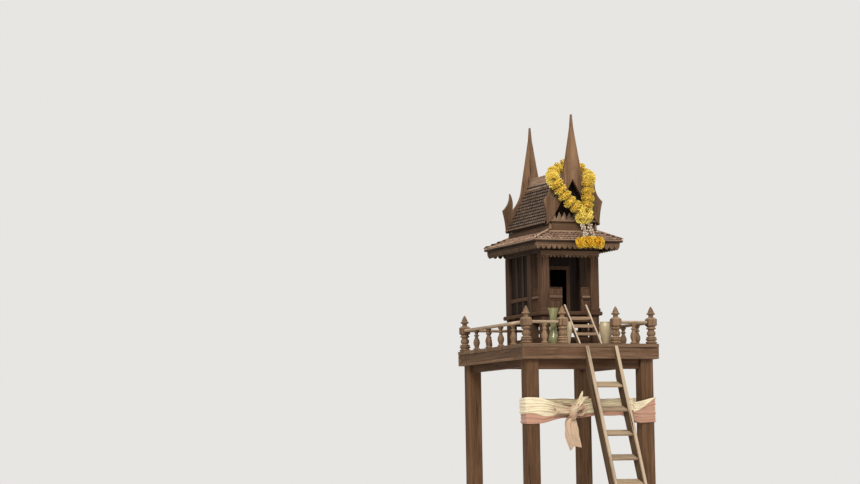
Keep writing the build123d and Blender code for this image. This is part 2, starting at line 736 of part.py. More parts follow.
def porch_ladder():
    edge = house_front - FLOOR_LIP - SEAT
    rise = floor_top - DECK_TOP
    pitch = math.atan2(rise, SMALL_LADDER_RUN)
    run = SMALL_RAIL_DEPTH / math.sin(pitch)
    foot = edge - SMALL_LADDER_RUN
    wall = house_front - SEAT
    meets = DECK_TOP + (wall - foot) * math.tan(pitch)
    top = floor_top + SMALL_LADDER_OVER
    head = foot + (top - DECK_TOP) / math.tan(pitch) - run
    outline = [(foot, DECK_TOP), (wall, meets), (wall, top), (head, top), (foot - run, DECK_TOP)]
    left = SMALL_LADDER_CENTRE - SMALL_LADDER_WIDTH / 2
    right = SMALL_LADDER_CENTRE + SMALL_LADDER_WIDTH / 2
    rails = [side_plate(outline, x, SMALL_RAIL) for x in (left, right - SMALL_RAIL)]
    save("porch_ladder_rails", rails)
    treads = []
    height = DECK_TOP + SMALL_FIRST_STEP
    while height < floor_top - SMALL_TREAD_THICK:
        rail_back = foot + (height - DECK_TOP) / math.tan(pitch)
        near = rail_back - run / 2 - SMALL_TREAD_DEPTH / 2
        treads.append(board(
            left + SMALL_RAIL + SEAT, right - SMALL_RAIL - SEAT, near, near + SMALL_TREAD_DEPTH,
            height - SMALL_TREAD_THICK / 2, height + SMALL_TREAD_THICK / 2))
        height += SMALL_STEP
    save("porch_ladder_treads", treads)


# Garland hung over the front spire
def tube(route, radii, radius):
    """A round strand along straight runs and tangent arcs."""
    path = FilletPolyline(*route, radius=radii)
    start = Plane(origin=path @ 0, z_dir=path % 0)
    return sweep(start * Circle(radius), path=path)


def garland():
    clear = GARLAND_RADIUS + SEAT
    behind = gable_front + clear
    before = gable_front - BARGE_THICK - SEAT - clear
    over = roof_ridge + RIDGE_CAP_RISE + clear + 6 * SEAT
    fall = GARLAND_FALL
    out = GARLAND_OUT
    crown = (0, behind, over)
    left = [
        crown, (-out * 0.3, behind, over), (-out * 0.6, behind, over - fall * 0.07),
        (-out, before, over - fall * 0.33), (-out * 0.84, before, over - fall * 0.49),
        (-out * 0.6, before, over - fall * 0.6), (-out * 0.25, before, over - fall * 0.82),
        (out * 0.15, before, over - fall * 0.97)]
    out = GARLAND_RIGHT_OUT
    right = [
        crown, (out * 0.42, behind, over), (out * 0.95, behind, over - fall * 0.17),
        (out * 0.98, before, over - fall * 0.44), (out * 0.97, before, over - fall * 0.68),
        (out * 0.8, before, over - fall * 0.84), (out * 0.55, before, over - fall * 0.96)]
    bunch_middle = roof_eave + BUNCH_HALF_HEIGHT - BUNCH_DROP
    loop = tube(left, GARLAND_BEND, GARLAND_RADIUS) + tube(right, GARLAND_BEND, GARLAND_RADIUS)
    bunch = Pos(BUNCH_X, before - 1, bunch_middle) * scale(
        Sphere(1), by=(BUNCH_HALF_WIDTH, GARLAND_RADIUS, BUNCH_HALF_HEIGHT))
    save("garland", loop + bunch)
    hang = skirt_front - PENDANT_RADIUS - 2 * SEAT
    low = eave_top - PENDANT_DROP
    string_top = bunch_middle - BUNCH_HALF_HEIGHT - SEAT / 2
    bend = (before - STRING_LEAN, string_top - STRING_FALL)
    reach = math.hypot(bend[0] - hang, bend[1] - low)
    share = 1 - (PENDANT_RADIUS + SEAT) / reach
    end = (bend[0] + (hang - bend[0]) * share, bend[1] + (low - bend[1]) * share)
    strings = []
    middle = BUNCH_X + STRING_SHIFT
    for x in (middle - STRING_SPREAD, middle + STRING_SPREAD):
        route = [(x, before - 1, string_top), (x, *bend), (x, *end)]
        strings.append(tube(route, STRING_BEND, STRING_RADIUS))
    save("flower_strings", strings)
    half = PENDANT_WIDTH / 2
    sides = [(-half, -PENDANT_SAG), (-half / 2, 0), (half / 2, 0), (half, -PENDANT_SAG)]
    route = [(BUNCH_X + x, hang, low + z) for x, z in sides]
    save("flower_pendant", tube(route, PENDANT_BEND, PENDANT_RADIUS))


# Cloth tied round the front posts
def sash():
    outer = deck_half - FASCIA_THICK
    near = front + FASCIA_THICK
    far = near + LEG + 2 * SEAT
    inner = outer - LEG - SEAT
    top = DECK_TOP - SASH_TOP_DROP
    low = top - SASH_HEIGHT
    ahead = near - SASH_THICK
    middle = top - SASH_GATHER_DROP
    half = SASH_GATHER / 2
    narrow = inner - SASH_NARROWS
    right_edge = [
        (narrow, middle - half), (inner, low), (outer, low),
        (outer, top), (inner, top), (narrow, middle + half)]
    front_band = right_edge + [(-x, z) for x, z in reversed(right_edge)]
    right_edge = [(narrow, top - SASH_STRAND), (inner, low), (outer, low), (outer, top)]
    back_band = right_edge + [(-x, z) for x, z in reversed(right_edge)]
    end = board(-outer - SASH_THICK, -outer, ahead, far + SASH_THICK, low, top)
    band = front_plate(front_band, ahead, SASH_THICK) + front_plate(back_band, far, SASH_THICK)
    save("cloth_sash", band + end + mirrored(end))
    knot_y = ahead - SEAT - KNOT_HALF_DEPTH
    knot_z = middle - KNOT_DROP
    knot = Pos(KNOT_X, knot_y, knot_z) * scale(
        Sphere(1), by=(KNOT_HALF_WIDTH, KNOT_HALF_DEPTH, KNOT_HALF_HEIGHT))

    def ribbon(points):
        outline = [(KNOT_X + x, knot_z + z) for x, z in points]
        return front_plate(outline, knot_y - BOW_THICK / 2, BOW_THICK)

    wide = BOW_WIDTH
    bow = ribbon([(0, 0), (wide, 0), (BOW_REACH, BOW_RISE - wide * 0.4), (BOW_REACH - wide, BOW_RISE)])
    side = ribbon([(0, -wide / 2), (-RIBBON_REACH, 0), (-RIBBON_REACH, wide * 0.7), (0, wide / 2)])
    half = TAIL_WIDTH / 2
    tail = ribbon([
        (half * 0.5, 0), (half - TAIL_HANG, -TAIL_HANG_DROP),
        (TAIL_SWING + half, -TAIL_LENGTH), (TAIL_SWING - half, -TAIL_LENGTH),
        (-half - TAIL_HANG, -TAIL_HANG_DROP), (-half * 0.5, 0)])
    save("sash_bow", knot + bow + side + tail)


# Vases on the deck
def vase(profile, bore, height, radius, x):
    """A turned vase with a straight bore; the profile is in shares of radius and height."""
    y = front + VASE_SETBACK
    body = turned([(radius * across, height * up) for across, up in profile], x, y, DECK_TOP)
    return body - Pos(x, y, DECK_TOP + (VASE_FLOOR + height) / 2) * Cylinder(bore, height - VASE_FLOOR)


def vases():
    tall = [
        (0.77, 0), (0.9, 0.03), (0.95, 0.15), (0.73, 0.3),
        (0.55, 0.5), (0.6, 0.74), (0.78, 0.9), (1, 1)]
    save("green_vase", vase(tall, GREEN_VASE_BORE, GREEN_VASE_HEIGHT, GREEN_VASE_RADIUS, GREEN_VASE_X))
    short = [
        (0.5, 0), (0.6, 0.04), (0.78, 0.32), (0.95, 0.57),
        (1, 0.76), (0.93, 0.9), (0.84, 0.95), (0.88, 1)]
    pair = []
    for x, share in ((LEFT_WHITE_VASE_X, 1), (RIGHT_WHITE_VASE_X, RIGHT_WHITE_VASE_SHARE)):
        pair.append(vase(short, WHITE_VASE_BORE * share, WHITE_VASE_HEIGHT, WHITE_VASE_RADIUS * share, x))
    save("white_vases", pair)


for make in (legs, header_beams, deck, balustrade, house_base, house_posts, house_walls, porch_panels, dado,
             wall_plates, ceiling, eave_boards, porch_valance, skirt_roof, attic, roof_slopes, gable_boards,
             main_ladder, porch_ladder, garland, sash, vases):
    make()
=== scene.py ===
import math
import random

import bmesh
import bpy
import numpy as np
from mathutils import Matrix, Vector


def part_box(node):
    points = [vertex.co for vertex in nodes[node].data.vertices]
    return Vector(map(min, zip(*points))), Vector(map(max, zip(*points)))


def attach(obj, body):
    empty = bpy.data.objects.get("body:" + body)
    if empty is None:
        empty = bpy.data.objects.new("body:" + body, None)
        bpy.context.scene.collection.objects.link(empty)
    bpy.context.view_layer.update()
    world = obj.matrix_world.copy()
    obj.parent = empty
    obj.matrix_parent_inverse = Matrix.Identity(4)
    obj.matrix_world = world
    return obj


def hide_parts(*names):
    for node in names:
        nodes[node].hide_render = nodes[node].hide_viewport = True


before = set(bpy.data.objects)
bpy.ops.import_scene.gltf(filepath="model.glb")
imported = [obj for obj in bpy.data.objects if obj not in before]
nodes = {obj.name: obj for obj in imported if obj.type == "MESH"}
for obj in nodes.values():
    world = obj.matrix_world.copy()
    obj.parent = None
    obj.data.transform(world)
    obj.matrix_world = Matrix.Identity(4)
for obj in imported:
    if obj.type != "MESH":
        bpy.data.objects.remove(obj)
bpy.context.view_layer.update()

rng = random.Random(11)

deck_low, deck_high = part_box("deck_boards")
FRONT = deck_low.y
DECK = deck_high.z
HOUSE_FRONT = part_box("porch_posts")[0].y
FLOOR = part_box("house_floor")[1].z
UPWARD = (0.0, 0.0, 1.0)
WOBBLE = 0.0002
SUNK = 0.0005


# Materials
class Shader:
    """A material's node tree, with short ways to add and join nodes."""

    def __init__(self, name, world=False):
        self.made = (bpy.data.worlds if world else bpy.data.materials).new(name)
        self.made.use_nodes = True
        self.tree = self.made.node_tree
        self.tree.nodes.clear()

    def node(self, kind, inputs=None, **properties):
        """A new node; an input takes a socket or a value, and a color is given without its alpha."""
        made = self.tree.nodes.new("ShaderNode" + kind)
        for key, value in properties.items():
            setattr(made, key, value)
        for key, value in (inputs or {}).items():
            socket = made.inputs[key]
            if isinstance(value, bpy.types.NodeSocket):
                self.tree.links.new(value, socket)
            else:
                socket.default_value = (*value, 1.0) if socket.type == "RGBA" else value
        return made

    def attribute(self, name, output="Fac"):
        return self.node("Attribute", attribute_name=name).outputs[output]

    def place(self):
        return self.node("TexCoord").outputs["Object"]

    def parts(self, vector):
        return self.node("SeparateXYZ", {0: vector}).outputs

    def vector(self, x, y, z):
        return self.node("CombineXYZ", {0: x, 1: y, 2: z}).outputs[0]

    def math(self, operation, a, b=0.0):
        return self.node("Math", {0: a, 1: b}, operation=operation).outputs[0]

    def times(self, a, b):
        return self.math("MULTIPLY", a, b)

    def facing(self, normal, way):
        """How far a normal is turned to a direction."""
        return self.node("VectorMath", {0: normal, 1: way}, operation="DOT_PRODUCT").outputs["Value"]

    def stretch(self, value, low, high, to_low=0.0, to_high=1.0):
        return self.node("MapRange", {0: value, 1: low, 2: high, 3: to_low, 4: to_high}).outputs[0]

    def noise(self, place, scale, detail=4.0, rough=0.6, distortion=0.0):
        spread = self.node("Mapping", {"Vector": place, "Scale": scale}).outputs[0]
        return self.node("TexNoise", {"Vector": spread, "Scale": 1.0, "Detail": detail, "Roughness": rough,
                                      "Distortion": distortion}).outputs["Fac"]

    def blend(self, share, a, b, mode="MIX"):
        return self.node("Mix", {0: share, 6: a, 7: b}, data_type="RGBA", blend_type=mode).outputs[2]

    def shaded(self, color, share):
        return self.blend(1.0, color, self.vector(share, share, share), "MULTIPLY")

    def finish(self, color, rough, height, strength, distance, **inputs):
        bump = self.node("Bump", {"Height": height, "Strength": strength, "Distance": distance})
        settings = {"Base Color": color, "Roughness": rough, "Normal": bump.outputs[0]}
        settings.update({key.replace("_", " "): value for key, value in inputs.items()})
        self.node("OutputMaterial", {"Surface": self.node("BsdfPrincipled", settings).outputs[0]})
        return self.made


def scaled(color, share):
    return tuple(share * c for c in color)


def tones(color):
    """A darker and a lighter shade of a wood's color."""
    pale = sum(color) / 3
    return scaled(color, 0.45), tuple(1.5 * c + 0.2 * pale for c in color)


def wood(name, color, axis=None, relief=0.5, wear=0.0, stain=0.0, bleach_and_highlight=None, sun=UPWARD, darker_below=None):
    """Weathered wood; the grain runs along the grain attribute's first part, or along an axis of the frame.
    Faces turned to the sun take a paler given color, partly sun-bleaching and partly painted light on their
    lit side; a height may be given under which the wood is darker, and how dark."""
    k = Shader(name)
    dark, light = tones(color)
    if axis is None:
        place = k.attribute("grain", "Vector")
    else:
        parts = k.parts(k.place())
        place = k.vector(*(parts[(axis + i) % 3] for i in range(3)))
    fibre = k.noise(place, (7.0, 210.0, 210.0), 5.0, 0.7)
    figure = k.noise(place, (2.2, 34.0, 34.0), distortion=1.4)
    patch = k.noise(place, (5.0, 13.0, 13.0), 5.0, 0.65)
    crack = k.stretch(k.noise(place, (3.5, 95.0, 95.0), 2.0), 0.3, 0.37, 1.0, 0.0)
    color = k.blend(k.stretch(fibre, 0.28, 0.62), dark, color)
    color = k.blend(k.stretch(figure, 0.45, 0.7, 0.0, 0.7), color, light)
    if bleach_and_highlight or wear:
        true = k.node("NewGeometry").outputs["Normal"]
    # painted light, partly sun-bleaching: faces turned to the sun take the paler given color
    if bleach_and_highlight:
        sunned = k.stretch(k.facing(true, sun), 0.72, 0.96)
        color = k.blend(k.times(sunned, k.stretch(fibre, 0.25, 0.5, 0.55, 1.0)), color, bleach_and_highlight)
    color = k.blend(k.stretch(patch, 0.5, 0.72, 0.0, 0.6), color, dark)
    if axis is None:
        tint = k.attribute("tint")
        # painted shade: a tint over 1 darkens the color, down to 0.3 of it at a tint of 2
        painted_shade = k.stretch(tint, 1.0, 2.0, 1.0, 0.3)
        color = k.shaded(color, k.times(k.stretch(tint, 0.0, 1.0, 1.15, 0.8), painted_shade))
    if stain:
        blot = k.noise(place, (9.0, 16.0, 16.0), 6.0, distortion=0.8)
        color = k.blend(k.stretch(blot, 0.52, 0.68, 0.0, stain), color, (0.105, 0.042, 0.018))
    if wear:
        rounded = k.node("Bevel", {"Radius": 0.0035}, samples=4).outputs[0]
        edge = k.stretch(k.facing(rounded, true), 0.985, 0.8, 0.0, wear)
        color = k.blend(k.times(edge, k.stretch(patch, 0.38, 0.6, 0.25, 1.0)), color, scaled(light, 1.25))
    color = k.blend(crack, color, scaled(dark, 0.35))
    # darker towards the bottom: below the given height the color is multiplied by the given share
    if darker_below:
        below, darkness = darker_below
        rise = k.parts(k.place())[2]
        color = k.shaded(color, k.stretch(rise, below - 0.04, below + 0.04, darkness, 1.0))
    height = k.math("SUBTRACT", k.times(fibre, 0.6), k.times(crack, 0.8))
    rough = k.stretch(fibre, 0.2, 0.8, 0.84, 0.62)
    return k.finish(color, rough, height, relief, 0.0012, Specular_IOR_Level=0.2)


def scale_wood(name, color, tip, cover):
    """Wooden roof scales with pale worn lower edges, painted shade darkening them just below cover, and
    painted shadow, black, from cover up, where the next row lies over them. The grain attribute holds how
    far up and across its scale a point lies, and the tint, 1 underneath, paints shade on the undersides."""
    k = Shader(name)
    dark, light = tones(color)
    place = k.attribute("grain", "Vector")
    up, across = k.parts(place)[:2]
    fibre = k.noise(place, (60.0, 420.0, 40.0), 3.0)
    patch = k.noise(place, (26.0, 26.0, 9.0))
    color = k.blend(k.stretch(fibre, 0.3, 0.66), dark, color)
    color = k.blend(k.stretch(patch, 0.48, 0.7, 0.0, 0.7), color, light)
    # painted shade: darker just below where the next row lies over the scale
    color = k.blend(k.stretch(up, cover - 0.013, cover - 0.001, 0.0, 0.45), color, dark)
    # painted shadow: black from cover up, seen in the notches between the next row's tips
    color = k.blend(k.stretch(up, cover - 0.001, cover + 0.0015), color, scaled(dark, 0.12))
    edge = k.math("SUBTRACT", up, k.math("ABSOLUTE", across))
    worn = k.times(k.stretch(edge, 0.0055, 0.0015), k.stretch(patch, 0.36, 0.56, 0.35, 1.0))
    color = k.blend(worn, color, tip)
    # painted shade on the undersides and edge faces, where the tint is high
    color = k.blend(k.stretch(k.attribute("tint"), 0.15, 0.7), color, scaled(dark, 0.3))
    return k.finish(color, 0.8, fibre, 0.4, 0.0008, Specular_IOR_Level=0.25)


POST_WOOD = wood("post wood", (0.14, 0.068, 0.029), wear=0.5)
HEADER_WOOD = wood("header wood", (0.112, 0.052, 0.023), wear=0.4)
FASCIA_WOOD = wood("fascia wood", (0.17, 0.094, 0.05), wear=0.8, stain=0.6)
DECK_WOOD = wood("deck wood", (0.19, 0.112, 0.062), wear=0.7)
# Where a paler color is given, faces turned to the sun take it: partly sun-bleaching, partly painted light
# on the lit tops.
TURNED_WOOD = wood("turned wood", (0.215, 0.126, 0.068), wear=0.9, relief=0.35, bleach_and_highlight=(0.44, 0.32, 0.21))
RAIL_WOOD = wood("rail wood", (0.44, 0.31, 0.2), wear=0.6, bleach_and_highlight=(0.8, 0.66, 0.49))
# The wall wood is darker than the wood itself: partly its own dark brown, partly painted shade for the walls
# and ceiling under the eaves.
WALL_WOOD_IN_SHADE = wood("wall wood", (0.019, 0.01, 0.006), wear=0.5)
FRONT_WOOD = wood("front wood", (0.094, 0.046, 0.023), wear=0.6)
MOULDING_WOOD = wood("moulding wood", (0.205, 0.126, 0.073), wear=0.8)
CARVED_WOOD = wood("carved wood", (0.165, 0.094, 0.05), wear=0.9)
FRIEZE_WOOD = wood("frieze wood", (0.12, 0.065, 0.034), wear=0.9)
ATTIC_WOOD = wood("attic wood", (0.06, 0.033, 0.019), axis=0, wear=0.6)
# painted shade: the recessed gable panels take near-black wood for the shade behind the frieze and garland
SHADED_GABLE_WOOD = wood("dark gable wood", (0.028, 0.015, 0.009), axis=2)
ROOF_BOARD = wood("roof board", (0.045, 0.025, 0.015), axis=1, wear=0.5)
# The last number is the height on each scale where its painted shadow under the next row starts.
TILE_WOOD = scale_wood("roof scale wood", (0.062, 0.034, 0.02), (0.25, 0.16, 0.098), 0.0165)
SKIRT_WOOD = scale_wood("skirt scale wood", (0.132, 0.067, 0.04), (0.54, 0.345, 0.235), 0.0185)
TRIM_WOOD = wood("roof trim wood", (0.33, 0.215, 0.135), wear=0.8)
LEAF_WOOD = wood("carved leaf wood", (0.21, 0.13, 0.076), wear=0.9)
# A darker copy of the front wood for the side walls' posts and battens: painted shade on the shaded sides.
SIDE_WOOD_IN_SHADE = wood("side batten wood", (0.06, 0.031, 0.017), wear=0.6)
RIDGE_WOOD = wood("ridge wood", (0.33, 0.208, 0.13), wear=0.8)
SPIRE_WOOD = wood("spire wood", (0.195, 0.105, 0.052), axis=2, wear=0.5, stain=0.4, darker_below=(1.74, 0.72))
# The ladder rails' paler front faces are painted light on their lit side, partly sun-bleaching.
LADDER_WOOD = wood("ladder wood", (0.106, 0.06, 0.028), wear=0.7, bleach_and_highlight=(0.46, 0.345, 0.235),
                   sun=(0.0, -0.918, 0.397))
TREAD_WOOD = wood("tread wood", (0.33, 0.218, 0.124), wear=0.5, bleach_and_highlight=(0.43, 0.315, 0.2))
# The porch ladder rails' paler front faces are painted light on their lit side, partly sun-bleaching.
PALE_WOOD = wood("porch ladder wood", (0.2, 0.125, 0.075), wear=0.7, bleach_and_highlight=(0.66, 0.52, 0.38),
                 sun=(0.0, -0.76, 0.65))
STEP_WOOD = wood("porch step wood", (0.355, 0.228, 0.136), wear=0.6, bleach_and_highlight=(0.5, 0.35, 0.23))


# Meshes
def quads(rows, cols, closed=False, start=0):
    """The faces between rows of points, where each row may close to a ring."""
    faces = []
    for i in range(rows - 1):
        for j in range(cols if closed else cols - 1):
            a, b = start + i * cols + j, start + i * cols + (j + 1) % cols
            faces.append((a, b, b + cols, a + cols))
    return faces


def mirrored(half):
    """An outline from its left half, which ends on the middle line x = 0."""
    return half + [(-x, y) for x, y in reversed(half[:-1])]


def shrunk(outline, inset):
    """The outline moved inwards by inset, on whichever side is its inside."""
    if not inset:
        return outline
    area = np.sum(outline[:, 0] * np.roll(outline[:, 1], -1) - outline[:, 1] * np.roll(outline[:, 0], -1))
    normals = []
    for way in (outline - np.roll(outline, 1, 0), np.roll(outline, -1, 0) - outline):
        way /= np.linalg.norm(way, axis=1)[:, None]
        normals.append(np.stack([-way[:, 1], way[:, 0]], 1) * math.copysign(1.0, area))
    share = 1 + np.sum(normals[0] * normals[1], 1)
    sharpest = 0.35
    return outline + inset * (normals[0] + normals[1]) / np.maximum(share, sharpest)[:, None]


def curve_through(points, steps):
    """A smooth line through points, in that many steps from each to the next."""
    curve = []
    for i in range(len(points) - 1):
        p0, p1, p2, p3 = points[max(i - 1, 0)], points[i], points[i + 1], points[min(i + 2, len(points) - 1)]
        for step in range(steps):
            t = step / steps
            curve.append(0.5 * ((2 * p1) + (p2 - p0) * t + (2 * p0 - 5 * p1 + 4 * p2 - p3) * t * t
                                + (3 * p1 - p0 - 3 * p2 + p3) * t ** 3))
    return curve + [points[-1]]


def smooth_step(value):
    value = min(max(value, 0.0), 1.0)
    return value * value * (3 - 2 * value)


def new_object(name, data):
    made = bpy.data.objects.new(name, data)
    bpy.context.scene.collection.objects.link(made)
    return made


class Piece:
    """Solids gathered into one mesh, each with its grain's direction and a tint, which over 1 is painted
    shade.
    """

    def __init__(self):
        self.points, self.faces, self.grain, self.tint, self.count = [], [], [], [], 0

    def add(self, points, faces, axis=2, tint=None, transform=None, grain=None, exact=False):
        """Adds points and faces, with grain along an axis or as given, shifted at random unless exact."""
        points = np.asarray(points, float)
        if grain is None:
            grain = points[:, [axis, (axis + 1) % 3, (axis + 2) % 3]]
        elif callable(grain):
            grain = grain(points)
        shift = 0.0 if exact else [rng.uniform(0, 9) for _ in range(3)]
        self.grain.append(np.asarray(grain, float) + shift)
        if transform is not None:
            matrix = np.array(transform)
            points = points @ matrix[:3, :3].T + matrix[:3, 3]
        self.points.append(points)
        self.tint.append(np.broadcast_to(rng.random() if tint is None else tint, len(points)))
        self.faces.extend([tuple(self.count + i for i in face) for face in faces])
        self.count += len(points)

    def loft(self, rings, **options):
        """Joins rings of points into a closed solid."""
        rings = np.asarray(rings, float)
        steps, around = rings.shape[:2]
        ends = [tuple(reversed(range(around))), tuple(range((steps - 1) * around, steps * around))]
        self.add(rings.reshape(-1, 3), ends + quads(steps, around, True), **options)

    def board(self, low, high, axis=None, edge=0.0012, **options):
        """A board with eased, slightly uneven edges."""
        low, high = np.minimum(low, high).astype(float), np.maximum(low, high).astype(float)
        size = high - low
        axis = int(np.argmax(size)) if axis is None else axis
        u, v = [i for i in range(3) if i != axis]
        edge = min(edge, 0.3 * size.min())
        spacing = 0.15
        steps = 2 + int(size[axis] / spacing)
        stations = [(edge + (size[axis] - 2 * edge) * i / (steps - 1), 0.0) for i in range(steps)]
        rings = []
        for along, inset in [(0.0, edge), *stations, (size[axis], edge)]:
            cut = edge + rng.uniform(0, WOBBLE)
            a, b, c, d = [inset + rng.uniform(0, WOBBLE) for _ in range(4)]
            u0, u1, v0, v1 = low[u] + a, high[u] - b, low[v] + c, high[v] - d
            ring = np.empty((8, 3))
            ring[:, axis] = low[axis] + along
            ring[:, u] = [u0 + cut, u1 - cut, u1, u1, u1 - cut, u0 + cut, u0, u0]
            ring[:, v] = [v0, v0, v0 + cut, v1 - cut, v1, v1, v1 - cut, v0 + cut]
            rings.append(ring)
        self.loft(rings, axis=axis, **options)

    def slab(self, outline, across, low, high, edge=0.0012, **options):
        """A flat outline, thick along an axis, with eased edges; outline holds the other two coordinates."""
        outline = np.asarray(outline, float)
        stations = (low, edge), (low + edge, 0.0), (high - edge, 0.0), (high, edge)
        rings = [np.insert(shrunk(outline, inset), across, place, 1) for place, inset in stations]
        self.loft(rings, **options)

    def lathe(self, profile, low, high, z, around=24, **options):
        """A turned solid from (radius, height) points, on the middle line of a box."""
        x, y = (low + high)[:2] / 2
        turns = np.arange(around) * 2 * math.pi / around
        self.loft([np.stack([x + r * np.cos(turns), y + r * np.sin(turns), np.full(around, z + h)], 1)
                   for r, h in profile], **options)

    def build(self, name, material, slot, replaces=(), smooth=None, mend=True):
        mesh = bpy.data.meshes.new(name)
        mesh.from_pydata(np.concatenate(self.points).tolist(), [], self.faces)
        for key, kind, field, rows in (("grain", "FLOAT_VECTOR", "vector", self.grain),
                                       ("tint", "FLOAT", "value", self.tint)):
            values = np.concatenate(rows).astype(np.float32).ravel()
            mesh.attributes.new(key, kind, "POINT").data.foreach_set(field, values)
        if mend:
            made = bmesh.new()
            made.from_mesh(mesh)
            bmesh.ops.recalc_face_normals(made, faces=made.faces)
            made.to_mesh(mesh)
            made.free()
        mesh.materials.append(material)
        if smooth is not None:
            mesh.polygons.foreach_set("use_smooth", [True] * len(mesh.polygons))
            mesh.set_sharp_from_angle(angle=math.radians(smooth))
        piece = new_object(name, mesh)
        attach(piece, "root")
        if replaces:
            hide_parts(*replaces)
        return piece


def islands(name):
    """The (low, high) corners of each separate solid of a CAD node."""
    mesh = nodes[name].data
    co = np.array([v.co for v in mesh.vertices])
    keys = {}
    ident = [keys.setdefault(tuple(p), len(keys)) for p in np.round(co, 5).tolist()]
    parent = list(range(len(keys)))

    def root(i):
        while parent[i] != i:
            parent[i] = parent[parent[i]]
            i = parent[i]
        return i

    for face in mesh.polygons:
        first = root(ident[face.vertices[0]])
        for v in face.vertices:
            parent[root(ident[v])] = first
    groups = {}
    for index, key in enumerate(ident):
        groups.setdefault(root(key), []).append(index)
    boxes = [(co[members].min(0), co[members].max(0)) for members in groups.values()]
    return sorted(boxes, key=lambda pair: pair[0].tolist())


def each(name, node, material, slot, make, **options):
    """A piece in place of a CAD node; make(piece, low, high) adds what stands for each of its solids."""
    piece = Piece()
    for low, high in islands(node):
        make(piece, low, high)
    piece.build(name, material, slot, [node], **options)


def dress(names, material, slot, edge=0.0012, split=0, width=None, axis=None, gap=0.0004):
    """Boards with eased edges in place of box-shaped CAD nodes. Each box is one board, or is split along one
    axis into boards of about a width, with gaps between them and another axis as their length."""
    def boards(piece, low, high):
        count = max(1, round((high[split] - low[split]) / width)) if width else 1
        cuts = np.linspace(low[split], high[split], count + 1)
        for number in range(count):
            a, b = low.copy(), high.copy()
            a[split] = cuts[number] + (gap if number else 0)
            b[split] = cuts[number + 1] - (gap if number < count - 1 else 0)
            piece.board(a, b, axis, edge)

    for name in names.split():
        each(name + "_boards", name, material, slot, boards)


def keep(names, material, bevel=0.0012):
    """CAD nodes shown as they are, with eased edges and a material of their own."""
    for name in names.split():
        node = nodes[name]
        node.data.materials.clear()
        node.data.materials.append(material)
        node.modifiers.new("weld", "WELD").merge_threshold = 0.00001
        ease = node.modifiers.new("ease", "BEVEL")
        ease.width = bevel
        ease.segments = 2
        ease.limit_method = "ANGLE"
        ease.angle_limit = math.radians(35)


# Posts, deck and house boards
for row in (
        ("leg_front_left leg_front_right leg_back_left leg_back_right", POST_WOOD, "post_wood", 0.003),
        ("header_beams", HEADER_WOOD, "post_wood", 0.002),
        ("deck_boards", DECK_WOOD, "deck_wood", 0.002, 1, 0.08, 0, 0.0008),
        ("house_stilts base_beams", FRONT_WOOD, "deck_wood", 0.0015),
        ("house_floor", FRONT_WOOD, "deck_wood", 0.003, 1, 0.07, 0),
        ("porch_posts", FRONT_WOOD, "wall_wood", 0.002),
        ("wall_posts", SIDE_WOOD_IN_SHADE, "wall_wood", 0.002),
        ("left_wall right_wall", WALL_WOOD_IN_SHADE, "wall_wood", 0.0012, 1, 0.033, 2),
        ("back_wall front_wall_left front_wall_right wall_over_door", WALL_WOOD_IN_SHADE, "wall_wood",
         0.0012, 0, 0.03, 2),
        ("porch_panels", FRONT_WOOD, "wall_wood", 0.0015),
        ("dado_rails", FRONT_WOOD, "wall_wood", 0.004),
        ("wall_battens", SIDE_WOOD_IN_SHADE, "wall_wood", 0.0015),
        ("wall_plates", ATTIC_WOOD, "wall_wood", 0.002),
        ("ceiling", WALL_WOOD_IN_SHADE, "wall_wood", 0.0012, 0, 0.045, 1),
        ("roof_kerbs", CARVED_WOOD, "carved_wood", 0.0015),
        ("handrails", RAIL_WOOD, "turned_wood", 0.004)):
    dress(*row)
keep("frieze_boards", FRIEZE_WOOD)
keep("gable_panels", SHADED_GABLE_WOOD)
keep("roof_left roof_right skirt_roof", ROOF_BOARD, 0.001)
keep("gable_boards_front gable_boards_back", SPIRE_WOOD, 0.0018)


def fascia(piece, low, high):
    """A flat board with a raised strip along its lower edge."""
    inset, strip, narrow = 0.004, 0.011, 0.1
    thin = 0 if high[0] - low[0] < narrow else 1
    a, b = low.copy(), high.copy()
    if low[thin] + high[thin] < deck_low[thin] + deck_high[thin]:
        a[thin] += inset
    else:
        b[thin] -= inset
    a[2] += strip
    piece.board(a, b, edge=0.001)
    b = high.copy()
    b[2] = low[2] + strip
    piece.board(low, b, edge=0.003, tint=0.05)


each("deck_fascias_moulded", "deck_fascias", FASCIA_WOOD, "deck_wood", fascia)


# Turned balustrade, with its profiles in millimetres
def bead(radius, low, high):
    """A half-round disc on a turned piece, as (radius, height) points."""
    middle = (low + high) / 2
    half = (high - low) / 2
    core = radius - 1.3 * half
    angles = [math.pi * i / 6 for i in range(7)]
    return [(core + (radius - core) * math.sin(angle), middle - half * math.cos(angle)) for angle in angles]


def metres(profile):
    return [(r / 1000, z / 1000) for r, z in profile]


NEWEL_FOOT = metres(bead(24, 0, 10) + [(18, 12)] + bead(24, 14, 22) + bead(22, 22.5, 29)
                    + [(13, 31), (15, 34), (18, 38), (18.7, 43), (17.6, 49), (14, 54), (12, 57)]
                    + bead(20.5, 60, 68) + [(16, 71)])
FINIAL = metres([(13, 108), (10.5, 112), (9.5, 116), (11, 120)] + bead(18.5, 122, 129) + [
    (13, 130.5), (12.5, 134), (10, 140), (7, 147), (3.6, 153), (0.8, 156.8)])
BALUSTER = metres(bead(15, 0, 8) + [(9, 12), (11, 18), (13.5, 26), (14.2, 32), (12.6, 40), (9, 49), (7, 54)]
                  + bead(11.5, 58, 66) + [(7, 70), (8, 74), (12, 78), (12, 83.5)])


